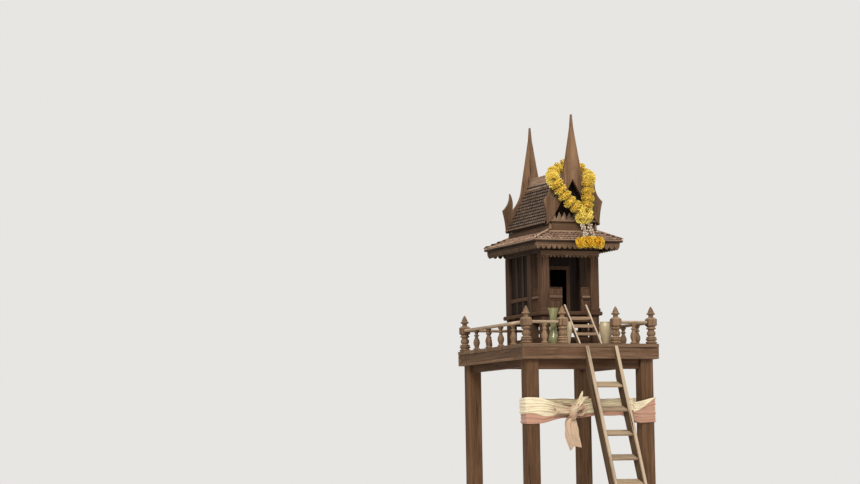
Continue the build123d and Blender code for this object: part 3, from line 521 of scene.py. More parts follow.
def newel(piece, low, high):
    x, y = (low + high)[:2] / 2
    tint = rng.random()
    piece.lathe(NEWEL_FOOT, low, high, DECK, tint=tint)
    block, cut, eased = 0.019, 0.006, 0.0015
    under, over = 0.071, 0.109
    rings = []
    ends = (under, block - cut), (under + cut, block), (over - cut, block), (over, block - cut)
    for height, half in ends:
        side = half - eased
        ring = [(-side, -half), (side, -half), (half, -side), (half, side), (side, half), (-side, half),
                (-half, side), (-half, -side)]
        rings.append([(x + u, y + v, DECK + height) for u, v in ring])
    piece.loft(rings, tint=tint)
    piece.lathe(FINIAL, low, high, DECK, tint=tint)


each("turned_newels", "newel_posts", TURNED_WOOD, "turned_wood", newel, smooth=40)
each("turned_balusters", "balusters", TURNED_WOOD, "turned_wood",
     lambda piece, low, high: piece.lathe(BALUSTER, low, high, DECK, 18), smooth=40)


# Porch and walls
def frames():
    """Raised frames and pale ledges on the porch panels, the door frame and the posts' collars."""
    piece = Piece()
    ledges = Piece()
    rail, narrow = 0.054, 0.03
    collars = (0.0, 0.014, 0.003), (0.232, 0.24, 0.002)
    for low, high in islands("porch_panels"):
        thin = 0 if high[0] - low[0] < narrow else 1
        long = 1 - thin

        def strip(target, ends, heights, out, along, edge, **options):
            a, b = np.zeros(3), np.zeros(3)
            a[thin], b[thin] = low[thin] - out, low[thin] + SUNK
            if not thin and low[0] > 0:
                a[thin], b[thin] = high[thin] - SUNK, high[thin] + out
            a[long], b[long] = ends
            a[2], b[2] = low[2] + heights[0], low[2] + heights[1]
            target.board(a, b, along, edge, **options)

        ledge = rail + 0.003, rail + 0.013
        strip(ledges, (low[long] + 0.001, high[long] - 0.001), ledge, 0.008, long, 0.002, tint=0.0)
        for z0, z1, bar in ((0.0, rail, 0.007), (rail + 0.017, high[2] - low[2], 0.005)):
            for x, z in ((low[long], z0), (high[long] - bar, z1 - bar)):
                strip(piece, (x, x + bar), (z0, z1), 0.003, 2, 0.0008)
                strip(piece, (low[long] + bar, high[long] - bar), (z, z + bar), 0.003, long, 0.0008)
    wall_low, wall_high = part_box("front_wall_left")
    side, face = wall_high.x, wall_low.y
    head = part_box("wall_over_door")[0].z
    jamb, casing, over = 0.008, 0.004, 0.012
    for x in (side, -side):
        piece.board((x - jamb, face - casing, FLOOR), (x + jamb, face, head + over), 2)
    piece.board((side + jamb, face - casing, head - casing), (-side - jamb, face, head + over), 0)
    for low, high in islands("porch_posts"):
        for z0, z1, out in collars:
            piece.board((*(low[:2] - out), low[2] + z0), (*(high[:2] + out), low[2] + z1), 0)
    piece.build("frames_and_collars", FRONT_WOOD, "wall_wood")
    ledges.build("panel_ledges", MOULDING_WOOD, "wall_wood")


frames()


# Scalloped boards
def tongues(name, node, pitch, length):
    """A board with a row of pointed tongues along its lower edge."""
    shape = mirrored([(-1, 0), (-0.97, -0.2), (-0.84, -0.5), (-0.5, -0.8), (0, -1)])
    slit, ledge = 0.0006, 0.006

    def board(piece, low, high):
        long = 0 if high[0] - low[0] > high[1] - low[1] else 1
        thin = 1 - long
        # painted shade: all boards but the front ones take a tint of 1.7, darker for the eaves' sides and
        # back in shade
        painted_shade = None if long == 0 and low[1] < HOUSE_FRONT else 1.7
        strip = low.copy()
        strip[2] += length
        piece.board(strip, high, long, 0.001, tint=painted_shade)
        count = round((high[long] - low[long]) / pitch)
        step = (high[long] - low[long]) / count
        half = step / 2 - slit
        for number in range(count):
            middle = low[long] + (number + 0.5) * step
            outline = [(middle + half * u, low[2] + length + SUNK + v * length) for u, v in shape]
            piece.slab(outline, thin, low[thin] + SUNK, high[thin] - SUNK, 0.001, axis=2, tint=painted_shade)
        strip[2] = high[2] - ledge
        piece.board(strip, high, long, 0.001, tint=painted_shade)

    each(name, node, CARVED_WOOD, "carved_wood", board)


tongues("eave_tongues", "eave_boards", 0.024, 0.018)
tongues("valance_tongues", "porch_valance", 0.018, 0.013)


# Roof scales
def scales(piece, line, slope_up, width, rows, thick, left, right, along, point=(0.27, 0.16, 0.4), rim=0.1):
    """Rows of pointed scales; line(v) gives a spot, the way up the slope and the way out at a height v. The
    point holds how far across and up the slanting edges pass, and how far up the slants end, as shares of a
    scale; rim is the tint of the edges' undersides, which paints shade on them, and covered upper parts take
    1."""
    side, upper, sliver, proud = 0.49, 1.35, 0.25, 0.0008
    exposure = slope_up / rows
    across, rise, end = point
    outline = mirrored([(-side, upper), (-side, end), (-across, rise), (0.0, 0.0)])
    for row in range(rows):
        v0 = row * exposure
        start, up, out = line(v0)
        a, b = left(v0), right(v0)
        count = max(1, round((b - a) / width))
        step = (b - a) / count
        for number in range(-1, count + 1):
            middle = a + (number + (0.5 if row % 2 else 1.0)) * step
            points = [(min(max(middle + u * step, a), b), v * exposure) for u, v in outline]
            if max(u for u, v in points) - min(u for u, v in points) < sliver * step:
                continue
            lift = rng.uniform(0.0, proud)
            under, over = [], []
            for u, v in points:
                height = thick * (1.0 - v / exposure * 0.66) + proud + lift
                spot = start + along * u + up * min(v, slope_up - v0)
                under.append(spot + out * max(height - thick * 0.8, 0.0002))
                over.append(spot + out * height)
            own = rng.uniform(0, 9)
            piece.loft([under, over], grain=[(v, u - middle, own) for u, v in points] * 2, exact=True,
                       tint=[rim if v < exposure else 1.0 for u, v in points] + [0.0] * len(points))


def skirt():
    low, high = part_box("skirt_roof")
    frieze_low, frieze_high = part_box("frieze_boards")
    stand, thick = 0.008, 0.0062
    near, far = frieze_low.y + stand, frieze_high.y - stand
    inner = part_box("roof_kerbs")[1].x
    base = low.z + 0.010
    end_slope, side_slope = math.radians(30.0), math.radians(22.6)
    half = high.x
    upward = np.array(UPWARD)
    piece = Piece()
    trim = Piece()
    for inward, origin, run, rows, width in (((0, 1), (0, low.y), near - low.y, 4, 0.018),
                                             ((0, -1), (0, high.y), high.y - far, 4, 0.018),
                                             ((1, 0), (-half, 0), half - inner, 5, 0.02),
                                             ((-1, 0), (half, 0), half - inner, 5, 0.02)):
        way = np.array([*inward, 0.0])
        angle, other, first, last = end_slope, side_slope, -half, half
        if inward[0]:
            angle, other, first, last = side_slope, end_slope, low.y, high.y
        up = way * math.cos(angle) + upward * math.sin(angle)
        out = upward * math.cos(angle) - way * math.sin(angle)
        start = np.array([*origin, base])
        share = math.cos(angle) * math.tan(angle) / math.tan(other)
        scales(piece, lambda v: (start + up * v, up, out), run / math.cos(angle), width, rows, thick,
               lambda v: first + v * share, lambda v: last - v * share, np.abs(way[[1, 0, 2]]))
        top = base + run * math.tan(angle)
        if inward[1]:
            y0, y1 = (near - 0.01, near) if inward[1] > 0 else (far, far + 0.01)
            trim.board((-inner, y0, top - 0.003), (inner, y1, top + 0.0035), 0, 0.001, tint=0.0)
    piece.build("skirt_scales", SKIRT_WOOD, "roof_tile")
    strip, out, back = 0.01, 0.001, 0.009
    under, over = base - 0.0045, base + 0.001
    for y in (low.y - out, high.y - back):
        trim.board((-half, y, under), (half, y + strip, over), 0, 0.0015)
    for x in (-half - out, half - back):
        trim.board((x, low.y, under), (x + strip, high.y, over), 1, 0.0015)
    section = (-1, 0), (-0.6, 0.005), (0.6, 0.005), (1, 0)
    for x in (-1, 1):
        for y0, y1 in ((low.y, near), (high.y, far)):
            foot = Vector((x * half, y0, base + 0.003))
            head = Vector((x * inner, y1, base + (half - inner) * math.tan(side_slope) + 0.006))
            across = (head - foot).normalized().cross(Vector(UPWARD)).normalized() * 0.0045
            trim.loft([[spot + across * u + Vector((0, 0, v)) for u, v in section] for spot in (foot, head)])
    trim.build("skirt_strips", TRIM_WOOD, "roof_tile")


def upper_roof():
    low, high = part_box("roof_left")
    half, rise = -low.x, high.z - low.z
    sag, steps, under_cap, lift = 0.036, 24, 0.018, 0.004
    shares = [step / steps for step in range(steps + 1)]
    line = [(half * (1 - share), low.z + rise * share - sag * share * (1 - share)) for share in shares]
    lengths = [0.0]
    for (x0, z0), (x1, z1) in zip(line, line[1:]):
        lengths.append(lengths[-1] + math.hypot(x1 - x0, z1 - z0))
    cap_low, cap_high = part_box("ridge_cap")
    total = next(length for length, spot in zip(lengths, line) if spot[1] > cap_low.z - under_cap)
    piece = Piece()
    for side in (-1, 1):
        def place(v):
            index = next(i for i in range(len(line) - 1) if lengths[i + 1] >= v)
            (x0, z0), (x1, z1) = line[index], line[index + 1]
            run = lengths[index + 1] - lengths[index]
            share = (v - lengths[index]) / run
            up = np.array([side * (x1 - x0) / run, 0.0, (z1 - z0) / run])
            out = np.array([side * (z1 - z0) / run, 0.0, (x0 - x1) / run])
            spot = np.array([side * (x0 + (x1 - x0) * share), 0.0, z0 + (z1 - z0) * share])
            return spot + out * lift, up, out

        first, last = low.y + 0.001, high.y - 0.001
        scales(piece, place, total, 0.0235, 12, 0.0085, lambda v: first, lambda v: last,
               np.array([0.0, 1.0, 0.0]), (0.24, 0.34, 0.76), 1.0)
        # The upper strip's tint of 1 paints shade under the ridge board.
        for v0, v1, proud, tint in ((total - 0.004, total + 0.006, 0.006, 0.0),
                                    (total + 0.006, total + 0.017, 0.0035, 1.0)):
            rings = []
            for y in (first, last):
                ring = []
                for v, height in ((v0, 0.0), (v0, proud + 0.001), (v1, proud), (v1, 0.0)):
                    spot, up, out = place(v)
                    ring.append(spot + out * height + np.array([0.0, y, 0.0]))
                rings.append(ring)
            piece.loft(rings, grain=lambda points: [(0.002, 0.009, y) for y in points[:, 1]], exact=True,
                       tint=tint)
    piece.build("upper_roof_scales", TILE_WOOD, "roof_tile")
    foot, brow, top = cap_low.z - 0.005, 0.007, cap_high.z
    outline = [(-0.019, foot), (-0.0185, foot + 0.004), (-brow, top - 0.003), (-brow + 0.002, top),
               (brow - 0.002, top), (brow, top - 0.003), (0.0185, foot + 0.004), (0.019, foot),
               (0.0155, foot), (0.0, top - 0.012), (-0.0155, foot)]
    cap = Piece()
    cap.slab(outline, 1, cap_low.y, cap_high.y, 0.0005, axis=1)
    cap.build("ridge_board", RIDGE_WOOD, "roof_tile", ["ridge_cap"])


skirt()
upper_roof()


def gable_carving():
    """The rows of carved leaves over each gable's moulding and the small posts at its corners."""
    piece = Piece()
    low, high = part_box("frieze_boards")
    half = 0.0102
    half_leaf = [(-1, 0.008), (-0.62, 0.015), (-0.74, 0.02), (-0.32, 0.027), (0, 0.034)]
    leaf = [(-1, 0), (1, 0), *reversed(mirrored(half_leaf))]
    rail, post = 0.1085, 0.1055
    square = (-1, -1), (1, -1), (1, 1), (-1, 1)
    steps = (0.0, 0.0045), (0.012, 0.005), (0.014, 0.0032), (0.017, 0.0046), (0.02, 0.0032), (0.028, 0.0008)
    for face, side in ((low.y, 1), (high.y, -1)):
        for depth, count, pitch, tall in ((0.007, 8, 0.0235, 1.0), (0.002, 9, 0.0215, 0.55)):
            for number in range(count):
                x = (number - (count - 1) / 2) * pitch
                y0, y1 = sorted((face + side * depth, face + side * (depth + 0.004)))
                piece.slab([(x + half * u, high.z - 0.001 + v * tall) for u, v in leaf], 1, y0, y1, axis=2)
        piece.board((-rail, face - 0.003, high.z - 0.0085), (rail, face + 0.003, high.z - 0.0005), 0, 0.0015,
                    tint=0.0)
        for x in (-post, post):
            y, z = face + side * 0.004, high.z - 0.041
            piece.loft([[(x + u * wide, y + v * wide, z + height) for u, v in square]
                        for height, wide in steps], tint=0.0)
    piece.build("gable_carving", LEAF_WOOD, "carved_wood")


gable_carving()


# Ladders
LEAN = math.radians(23.4)
RAIL_DEPTH = 0.052
TREAD_TILT = math.radians(19.5)
TREAD_HALF = 0.028, 0.0045
PORCH_RUN = 0.125
PORCH_RAIL_DEPTH = 0.016
GRAIN_SHIFT = 0.31


def ladder_rails(name, node, material, outline, edge):
    """Leaning rails with an outline in Y and Z, and their grain along the edge that closes it."""
    outline = np.asarray(outline, float)
    along = outline[0] - outline[-1]
    along /= np.linalg.norm(along)

    def grain(points):
        x, y, z = points.T
        return np.stack([y * along[0] + z * along[1], z * along[0] - y * along[1], x + GRAIN_SHIFT], 1)

    each(name, node, material, "ladder_wood",
         lambda piece, low, high: piece.slab(outline, 0, low[0], high[0], edge, grain=grain))


def ladders():
    lean = math.tan(LEAN)
    face = FRONT - 0.0003
    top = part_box("ladder_rails")[1].z
    run = RAIL_DEPTH / math.cos(LEAN)
    foot = face - top * lean
    ladder_rails("ladder_side_rails", "ladder_rails", LADDER_WOOD,
                 [(face, top), (face, top - run / lean), (foot + run, 0.0), (foot, 0.0)], 0.0025)

    def tread(piece, low, high):
        half = np.array([(high[0] - low[0]) / 2, *TREAD_HALF])
        turn = Matrix.Translation(Vector((low + high) / 2)) @ Matrix.Rotation(TREAD_TILT, 4, "X")
        piece.board(-half, half, 0, 0.0015, transform=turn)

    each("ladder_steps", "ladder_treads", TREAD_WOOD, "ladder_wood", tread)
    low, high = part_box("porch_ladder_rails")
    slope = (FLOOR - DECK) / PORCH_RUN
    back = low.y + PORCH_RAIL_DEPTH * math.hypot(1.0, slope) / slope
    ladder_rails("porch_ladder_side_rails", "porch_ladder_rails", PALE_WOOD,
                 [(low.y + (high.z - low.z) / slope, high.z), (high.y, high.z),
                  (high.y, low.z + (high.y - back) * slope), (back, low.z), (low.y, low.z)], 0.0012)
    each("porch_ladder_steps", "porch_ladder_treads", STEP_WOOD, "ladder_wood",
         lambda piece, low, high: piece.board(low, high, 0, 0.001))


ladders()


# Flowers
def petal_material(name, deep_and_shaded, mid, tip):
    k = Shader(name)
    speckle = k.noise(k.attribute("grain", "Vector"), (260.0, 260.0, 260.0), 3.0)
    # The ramp runs from a deep color at the petals' bases and core, partly the flower's own color and partly
    # painted shade inside the head, to a pale tip.
    ramp = k.node("ValToRGB", {"Fac": k.attribute("tint")})
    elements = ramp.color_ramp.elements
    elements.new(0.5)
    for element, place, color in zip(elements, (0.0, 0.45, 1.0), (deep_and_shaded, mid, tip)):
        element.position = place
        element.color = (*color, 1.0)
    color = k.blend(k.stretch(speckle, 0.35, 0.75, 0.0, 0.35), ramp.outputs["Color"], mid)
    return k.finish(color, 0.62, speckle, 0.3, 0.0006, Subsurface_Weight=0.12, Subsurface_Scale=0.004)


MARIGOLD = petal_material("marigold petals", (0.5, 0.25, 0.012), (0.78, 0.555, 0.065), (0.9, 0.755, 0.22))
PENDANT_FLOWER = petal_material("pendant petals", (0.5, 0.215, 0.005), (0.77, 0.455, 0.015),
                                (0.86, 0.62, 0.07))
CROWN = petal_material("crown flower petals", (0.29, 0.215, 0.145), (0.58, 0.46, 0.335), (0.78, 0.665, 0.52))
PENDANT_RADIUS = 0.0258
CROWN_RADIUS = 0.0125


def head_template(layers, seed, core):
    """Petals of a flower of radius 1 on its Z axis, round a core: points, faces and how near each point is
    to a tip. The layers hold how many petals, their lift in degrees, their reach and their width."""
    pick = random.Random(seed)
    petal = (0.45, 0.55, 0.12), (0.8, 1.0, 0.62), (1.0, 0.8, 1.0)
    points, faces, tips = [], [], []
    for count, lift, reach, size in layers:
        for number in range(count):
            turn = 2 * math.pi * (number + pick.random() * 0.7) / count
            high = math.radians(lift + pick.uniform(-9, 9))
            length = reach * pick.uniform(0.9, 1.08)
            wide = size * pick.uniform(0.85, 1.15)
            level = math.cos(high)
            radial = np.array([math.cos(turn) * level, math.sin(turn) * level, math.sin(high)])
            side = np.array([-math.sin(turn), math.cos(turn), 0.0])
            up = np.cross(radial, side)
            faces += quads(3, 3, start=len(points))
            for i, (along, share, near) in enumerate(petal):
                for across in (-1.0, 0.0, 1.0):
                    ruffle = 0.10 * (-0.6 if across else 1) * (i > 0) + pick.uniform(-0.03, 0.03)
                    short = -0.06 if across and i == 2 else 0.0
                    points.append(radial * (along + short) * length + side * (wide * share * across)
                                  + up * ruffle)
                    tips.append(near * pick.uniform(0.8, 1.0))
    start = len(points)
    for i in range(1, 6):
        for j in range(10):
            tilt, turn = math.pi * i / 6, 2 * math.pi * j / 10
            way = [math.sin(tilt) * math.cos(turn), math.sin(tilt) * math.sin(turn), math.cos(tilt)]
            points.append(np.array(way) * core)
            tips.append(pick.uniform(0.15, 0.5))
    faces += quads(5, 10, True, start)
    faces += [tuple(start + j for j in range(10)), tuple(start + 40 + j for j in range(9, -1, -1))]
    return np.array(points), faces, np.array(tips)


def pompom(seed):
    """A marigold head, flattened along the string."""
    layers = [(15, -52, 0.8, 0.15), (17, -28, 0.96, 0.17), (18, -8, 1.0, 0.17), (18, 10, 1.0, 0.17),
              (16, 30, 0.95, 0.16), (12, 52, 0.8, 0.15), (7, 76, 0.66, 0.14)]
    points, faces, tips = head_template(layers, seed, 0.66)
    points[:, 2] *= 0.80
    return points, faces, tips


POMPOMS = [pompom(seed) for seed in range(4)]


def turned_to(spot, axis, spin, size):
    """Places a flower head at a spot, with its Z axis along axis."""
    turn = Vector(axis).to_track_quat("Z", "Y").to_matrix().to_4x4()
    return Matrix.Translation(Vector(spot)) @ turn @ Matrix.Rotation(spin, 4, "Z") @ Matrix.Scale(size, 4)


def place_head(piece, centre, axis, radius):
    """One flower head with its string along axis."""
    points, faces, tips = POMPOMS[rng.randrange(4)]
    matrix = turned_to(centre, axis, rng.uniform(0, 2 * math.pi), radius * rng.uniform(0.94, 1.04))
    piece.add(points, faces, tint=tips * rng.uniform(0.88, 1.0), transform=matrix)


def string_of(piece, route, spacing, radius):
    """Heads strung along a smooth line through the route's points."""
    curve = curve_through([Vector(p) for p in route], 20)
    gaps = [(b - a).length for a, b in zip(curve, curve[1:])]
    length = sum(gaps)
    count = max(1, round(length / spacing))
    walked, index = 0.0, 0
    for number in range(count):
        target = (number + 0.5) * length / count
        while index < len(gaps) - 1 and walked + gaps[index] < target:
            walked += gaps[index]
            index += 1
        way = (curve[index + 1] - curve[index]).normalized()
        nudge = Vector([rng.uniform(-1, 1) for _ in range(3)]) * 0.0015
        place_head(piece, curve[index] + way * (target - walked) + nudge, way + nudge * 60, radius)


def flowers():
    """The garland over the spire, its bunch of large heads, two strings of crown flowers and the pendant."""
    roof_low, roof_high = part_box("roof_left")
    over = roof_high.z + 0.0451
    behind, before = roof_low.y + 0.0273, roof_low.y - 0.0436
    piece = Piece()
    for spacing, radius, places in (
            (0.0335, 0.0312, ((0, 0.008, 1), (-0.034, 0.023, 1), (-0.062, 0.038, 1), (-0.09, 0.066, 0.6),
                              (-0.097, 0.091, 0), (-0.083, 0.112, 0), (-0.066, 0.131, 0), (-0.043, 0.163, 0),
                              (-0.014, 0.19, 0), (0.01, 0.207, 0))),
            (0.0305, 0.03, ((0.016, 0.01, 1), (0.04, 0.02, 1), (0.066, 0.038, 1), (0.078, 0.062, 0.6),
                            (0.064, 0.086, 0.1), (0.056, 0.107, 0), (0.057, 0.142, 0), (0.052, 0.178, 0),
                            (0.044, 0.202, 0)))):
        route = [(x, before + (behind - before) * back, over - down) for x, down, back in places]
        string_of(piece, route, spacing, radius)
    bunch = Vector((0.0385, before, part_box("garland")[0].z + 0.045))
    for spot, radius, axis in (
            ((0.002, -0.006, 0.01), 0.035, (0.1, -1, 0.25)),
            ((-0.016, 0.0, -0.018), 0.027, (-0.5, -0.6, -0.6)),
            ((0.016, -0.001, -0.018), 0.027, (0.5, -0.6, -0.7)),
            ((0.0, 0.006, 0.014), 0.03, (0.2, 0.9, 0.3)),
            ((0.0, -0.006, -0.02), 0.024, (0.0, -0.8, -0.6)),
            ((0.016, 0.002, 0.018), 0.026, (0.7, -0.3, 0.5)),
            ((-0.018, 0.002, 0.012), 0.025, (-0.8, -0.3, 0.4))):
        place_head(piece, bunch + Vector(spot), axis, radius)
    piece.build("marigold_garland", MARIGOLD, "marigold", ["garland"], smooth=180, mend=False)
    low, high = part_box("flower_pendant")
    middle = (low + high) / 2
    piece = Piece()
    for x, z, axis in ((-0.049, -0.005, (1, -0.6, 0.3)), (-0.026, 0.0, (0.7, -1, 0.1)),
                       (-0.004, 0.002, (1, -0.4, 0.2)), (0.016, 0.001, (0.5, -1, 0.3)),
                       (0.036, 0.0, (1, -0.5, -0.3)), (0.05, -0.004, (0.8, -0.9, -0.3))):
        place_head(piece, (middle.x + x, middle.y, middle.z + 0.002 + z), axis, PENDANT_RADIUS)
    piece.build("marigold_pendant", PENDANT_FLOWER, "marigold", ["flower_pendant"], smooth=180, mend=False)
    layers = [(5, -8, 1.0, 0.3), (5, 38, 0.62, 0.16), (5, 74, 0.55, 0.1)]
    points, faces, tips = head_template(layers, 5, 0.25)
    piece = Piece()
    low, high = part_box("flower_strings")
    for x in (low.x + 0.007, high.x - 0.007):
        for number in range(5):
            share = number / 4
            spot = Vector((x + rng.uniform(-0.003, 0.003), high.y - 0.009 + (low.y - high.y + 0.014) * share,
                           high.z - 0.004 + (low.z - high.z + 0.01) * share))
            face = (rng.uniform(-0.7, 0.7), -1.0, rng.uniform(-0.3, 0.7))
            matrix = turned_to(spot, face, rng.uniform(0, 6), CROWN_RADIUS)
            piece.add(points, faces, tint=tips, transform=matrix)
    piece.build("crown_flowers", CROWN, "crown_flower", ["flower_strings"], smooth=60, mend=False)


flowers()


# Sash
def cloth_material():
    k = Shader("sash cotton")
    place = k.attribute("grain", "Vector")
    threads = [k.node("TexWave", {"Vector": place, "Scale": 420.0, "Distortion": 1.5}, bands_direction=way)
               for way in ("X", "Y")]
    weave = k.times(*(thread.outputs["Fac"] for thread in threads))
    soil = k.noise(place, (14.0, 22.0, 22.0), 5.0)
    color = k.blend(k.attribute("tint"), (0.82, 0.7, 0.47), (0.48, 0.243, 0.16))
    color = k.blend(k.stretch(soil, 0.45, 0.72, 0.0, 0.5), color, (0.36, 0.245, 0.14))
    color = k.blend(k.times(weave, 0.12), color, (0.84, 0.74, 0.56))
    return k.finish(color, 0.85, weave, 0.25, 0.0004, Sheen_Weight=0.25, Sheen_Roughness=0.5)


CLOTH = cloth_material()


def sheet_piece(name, rows, replaces=()):
    """A cloth surface from rows of points, each with its place on the flat cloth and its tint."""
    table = np.array(rows, float)
    flat = table.reshape(-1, 6)
    piece = Piece()
    places = np.insert(flat[:, 3:5], 2, 0.0, 1)
    piece.add(flat[:, :3], quads(*table.shape[:2]), grain=places, tint=flat[:, 5])
    return piece.build(name, CLOTH, "sash_cloth", replaces, smooth=180, mend=False)


def rounded_path(knot_x, near, far, outer):
    """Points 5 mm apart round both front posts, from the knot and back to it, and the ways out from them."""
    corner = 0.006
    path = [(knot_x, near)]
    for x, y, turn in ((outer - corner, near + corner, -90), (outer - corner, far - corner, 0),
                       (-outer + corner, far - corner, 90), (-outer + corner, near + corner, 180)):
        for i in range(6):
            angle = math.radians(turn + 18 * i)
            path.append((x + corner * math.cos(angle), y + corner * math.sin(angle)))
    path.append((knot_x, near))
    fine = []
    for (x0, y0), (x1, y1) in zip(path, path[1:]):
        steps = max(1, int(math.hypot(x1 - x0, y1 - y0) / 0.005))
        fine += [(x0 + (x1 - x0) * i / steps, y0 + (y1 - y0) * i / steps) for i in range(steps)]
    flat = np.array(fine + path[-1:])
    ahead = np.gradient(flat, axis=0)
    away = np.stack([ahead[:, 1], -ahead[:, 0]], 1)
    return flat, away / np.linalg.norm(away, axis=1)[:, None]


def fold_depth(cut, width, folds):
    """How deep the folds are that gather a cut width of cloth into a narrower one."""
    return math.sqrt(max(cut ** 2 - width ** 2, 0.0)) / (2 * folds)


def sash():
    low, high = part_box("cloth_sash")
    leg_low, leg_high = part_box("leg_front_right")
    gap = 0.0035
    outer, inner = leg_high.x + gap, leg_low.x - gap
    near, far = leg_low.y - gap, leg_high.y + gap
    top = high.z
    tall = high.z - low.z
    knot_x, knot_y, knot_z = -0.091, near - 0.019, top - 0.044 - 0.018
    flat_path, away = rounded_path(knot_x, near, far, outer)
    cut, folds, cols = 0.128, 8, 97
    lap, thickest = 0.0045, 0.013
    length = np.concatenate([[0], np.cumsum(np.linalg.norm(np.diff(flat_path, axis=0), axis=1))])
    rows = []
    for s, (x, y), (out_x, out_y) in zip(length, flat_path, away):
        on_front = y < near + 0.001
        on_back = y > far - 0.001
        height, middle, slant = tall, top - tall / 2, 0.0
        if abs(x) < inner and (on_front or on_back):
            pinch = smooth_step((inner - abs(x)) / 0.11)
            if on_front:
                to_knot = smooth_step(1 - abs(x - knot_x) / 0.16)
                height = tall * (1 - 0.36 * pinch) * (1 - 0.34 * to_knot)
                middle = top - tall / 2 + pinch * 0.012 - 0.020 * to_knot
            else:
                height = tall * (1 - 0.62 * pinch)
                middle = top - height / 2 - 0.004 * pinch
        if on_front and x > inner - 0.04:
            slant = 0.020 * smooth_step((outer - x) / 0.09)
        height *= 0.985
        depth = fold_depth(cut, height, folds)
        border = 0.62
        if on_front and x > inner - 0.02:
            border = 0.05 + 0.30 * (outer - x) / (outer - inner)
        elif on_front and x > knot_x:
            border = 0.36 + 0.40 * min(1.0, (inner - x) / 0.09)
        elif on_front:
            border = 0.62 + 0.14 * smooth_step((x + outer) / 0.12)
        elif x > 0 and not on_back:
            border = 0.05 + 0.57 * (y - near) / (far - near)
        row = []
        for t in (j / (cols - 1) for j in range(cols)):
            wander = 0.55 * math.sin(s * 5.3 + 3.0 * t) + 0.30 * math.sin(s * 13.0 + 7.0 * t + 1.0)
            phase = t * folds + wander * t * (1 - t) * 3.0
            number = math.floor(phase)
            wave = 0.5 - 0.5 * math.cos(2 * math.pi * (phase - number))
            swell = 0.62 + 0.38 * math.sin(2.6 * number + s * 9.0)
            fine = 0.14 * math.sin(2 * math.pi * (2.7 * phase + 1.3 * math.sin(s * 8.0)))
            flatter = 0.35 if t < border - 0.04 and x > inner - 0.03 and on_front else 1.0
            fold = depth * max(wave * swell + fine, 0.0) * flatter
            stand = min(fold + lap * smooth_step((border - t) / 0.05), thickest)
            z = middle + height * (0.5 - t) - slant * (1 - t) + 0.0015 * math.sin(s * 47 + 9 * t)
            pink = 1.0 - smooth_step((border - t) / 0.03)
            row.append((x + out_x * stand, y + out_y * stand, z, s, t * cut, pink))
        rows.append(row)
    band = sheet_piece("sash_band", rows, ["cloth_sash"])

    def ribbon(name, centres, widths, normal, folds, cut, swallow, pink, seed):
        """A strip of cloth through centres placed from the knot, folded lengthwise to the given widths."""
        steps = 14
        fine = curve_through([Vector((knot_x + x, knot_y + y, knot_z + z)) for x, y, z in centres], steps)
        shares = [smooth_step(step / steps) for step in range(steps)]
        wide = [a + (b - a) * share for a, b in zip(widths, widths[1:]) for share in shares]
        cols = 37
        rows = []
        run = 0.0
        normal = Vector(normal).normalized()
        for i, (spot, width) in enumerate(zip(fine, wide + widths[-1:])):
            ahead = fine[min(i + 1, len(fine) - 1)] - fine[max(i - 1, 0)]
            across = normal.cross(ahead).normalized()
            if i:
                run += (spot - fine[i - 1]).length
            depth = fold_depth(cut, width, folds)
            share = i / (len(fine) - 1)
            row = []
            for t in (j / (cols - 1) for j in range(cols)):
                phase = (t * folds + 0.35 * math.sin(run * 24 + seed)
                         + 0.25 * math.sin(run * 41 + 6 * t + seed))
                wave = 0.5 - 0.5 * math.cos(2 * math.pi * phase)
                swell = 0.65 + 0.35 * math.sin(2.1 * math.floor(phase) + run * 17 + seed)
                notch = swallow * max(0.0, share - 0.6) / 0.4 * (1 - abs(2 * t - 1))
                point = (spot + across * (t - 0.5) * width + normal * (depth * (wave * swell - 0.4))
                         - ahead.normalized() * notch)
                row.append((*point, run, t * cut, pink))
            rows.append(row)
        made = sheet_piece(name, rows)

    ribbon("sash_bow_end", [(0.002, 0, 0.01), (0.026, -0.004, 0.044), (0.056, -0.002, 0.076)],
           [0.018, 0.026, 0.036], (0, -1, 0.2), 3, 0.05, 0.018, 0.1, 1.0)
    ribbon("sash_loop", [(0.004, -0.004, 0.006), (0.028, -0.008, 0.022), (0.05, -0.002, 0.02),
                         (0.04, 0.004, -0.004), (0.01, 0.002, -0.008)],
           [0.016, 0.024, 0.02, 0.02, 0.016], (0.1, -1, 0.3), 2, 0.04, 0.0, 0.75, 2.0)
    ribbon("sash_side_end", [(-0.004, 0, 0.002), (-0.044, -0.003, 0.008), (-0.09, 0, 0.012)],
           [0.018, 0.024, 0.026], (0, -1, 0.1), 3, 0.046, 0.014, 0.35, 3.0)
    ribbon("sash_tail", [(-0.004, 0, -0.014), (-0.015, 0.002, -0.046), (-0.009, -0.002, -0.094),
                         (0.007, 0.001, -0.153)],
           [0.024, 0.056, 0.064, 0.054], (0, -1, 0), 3, 0.088, 0.014, 0.6, 0.5)

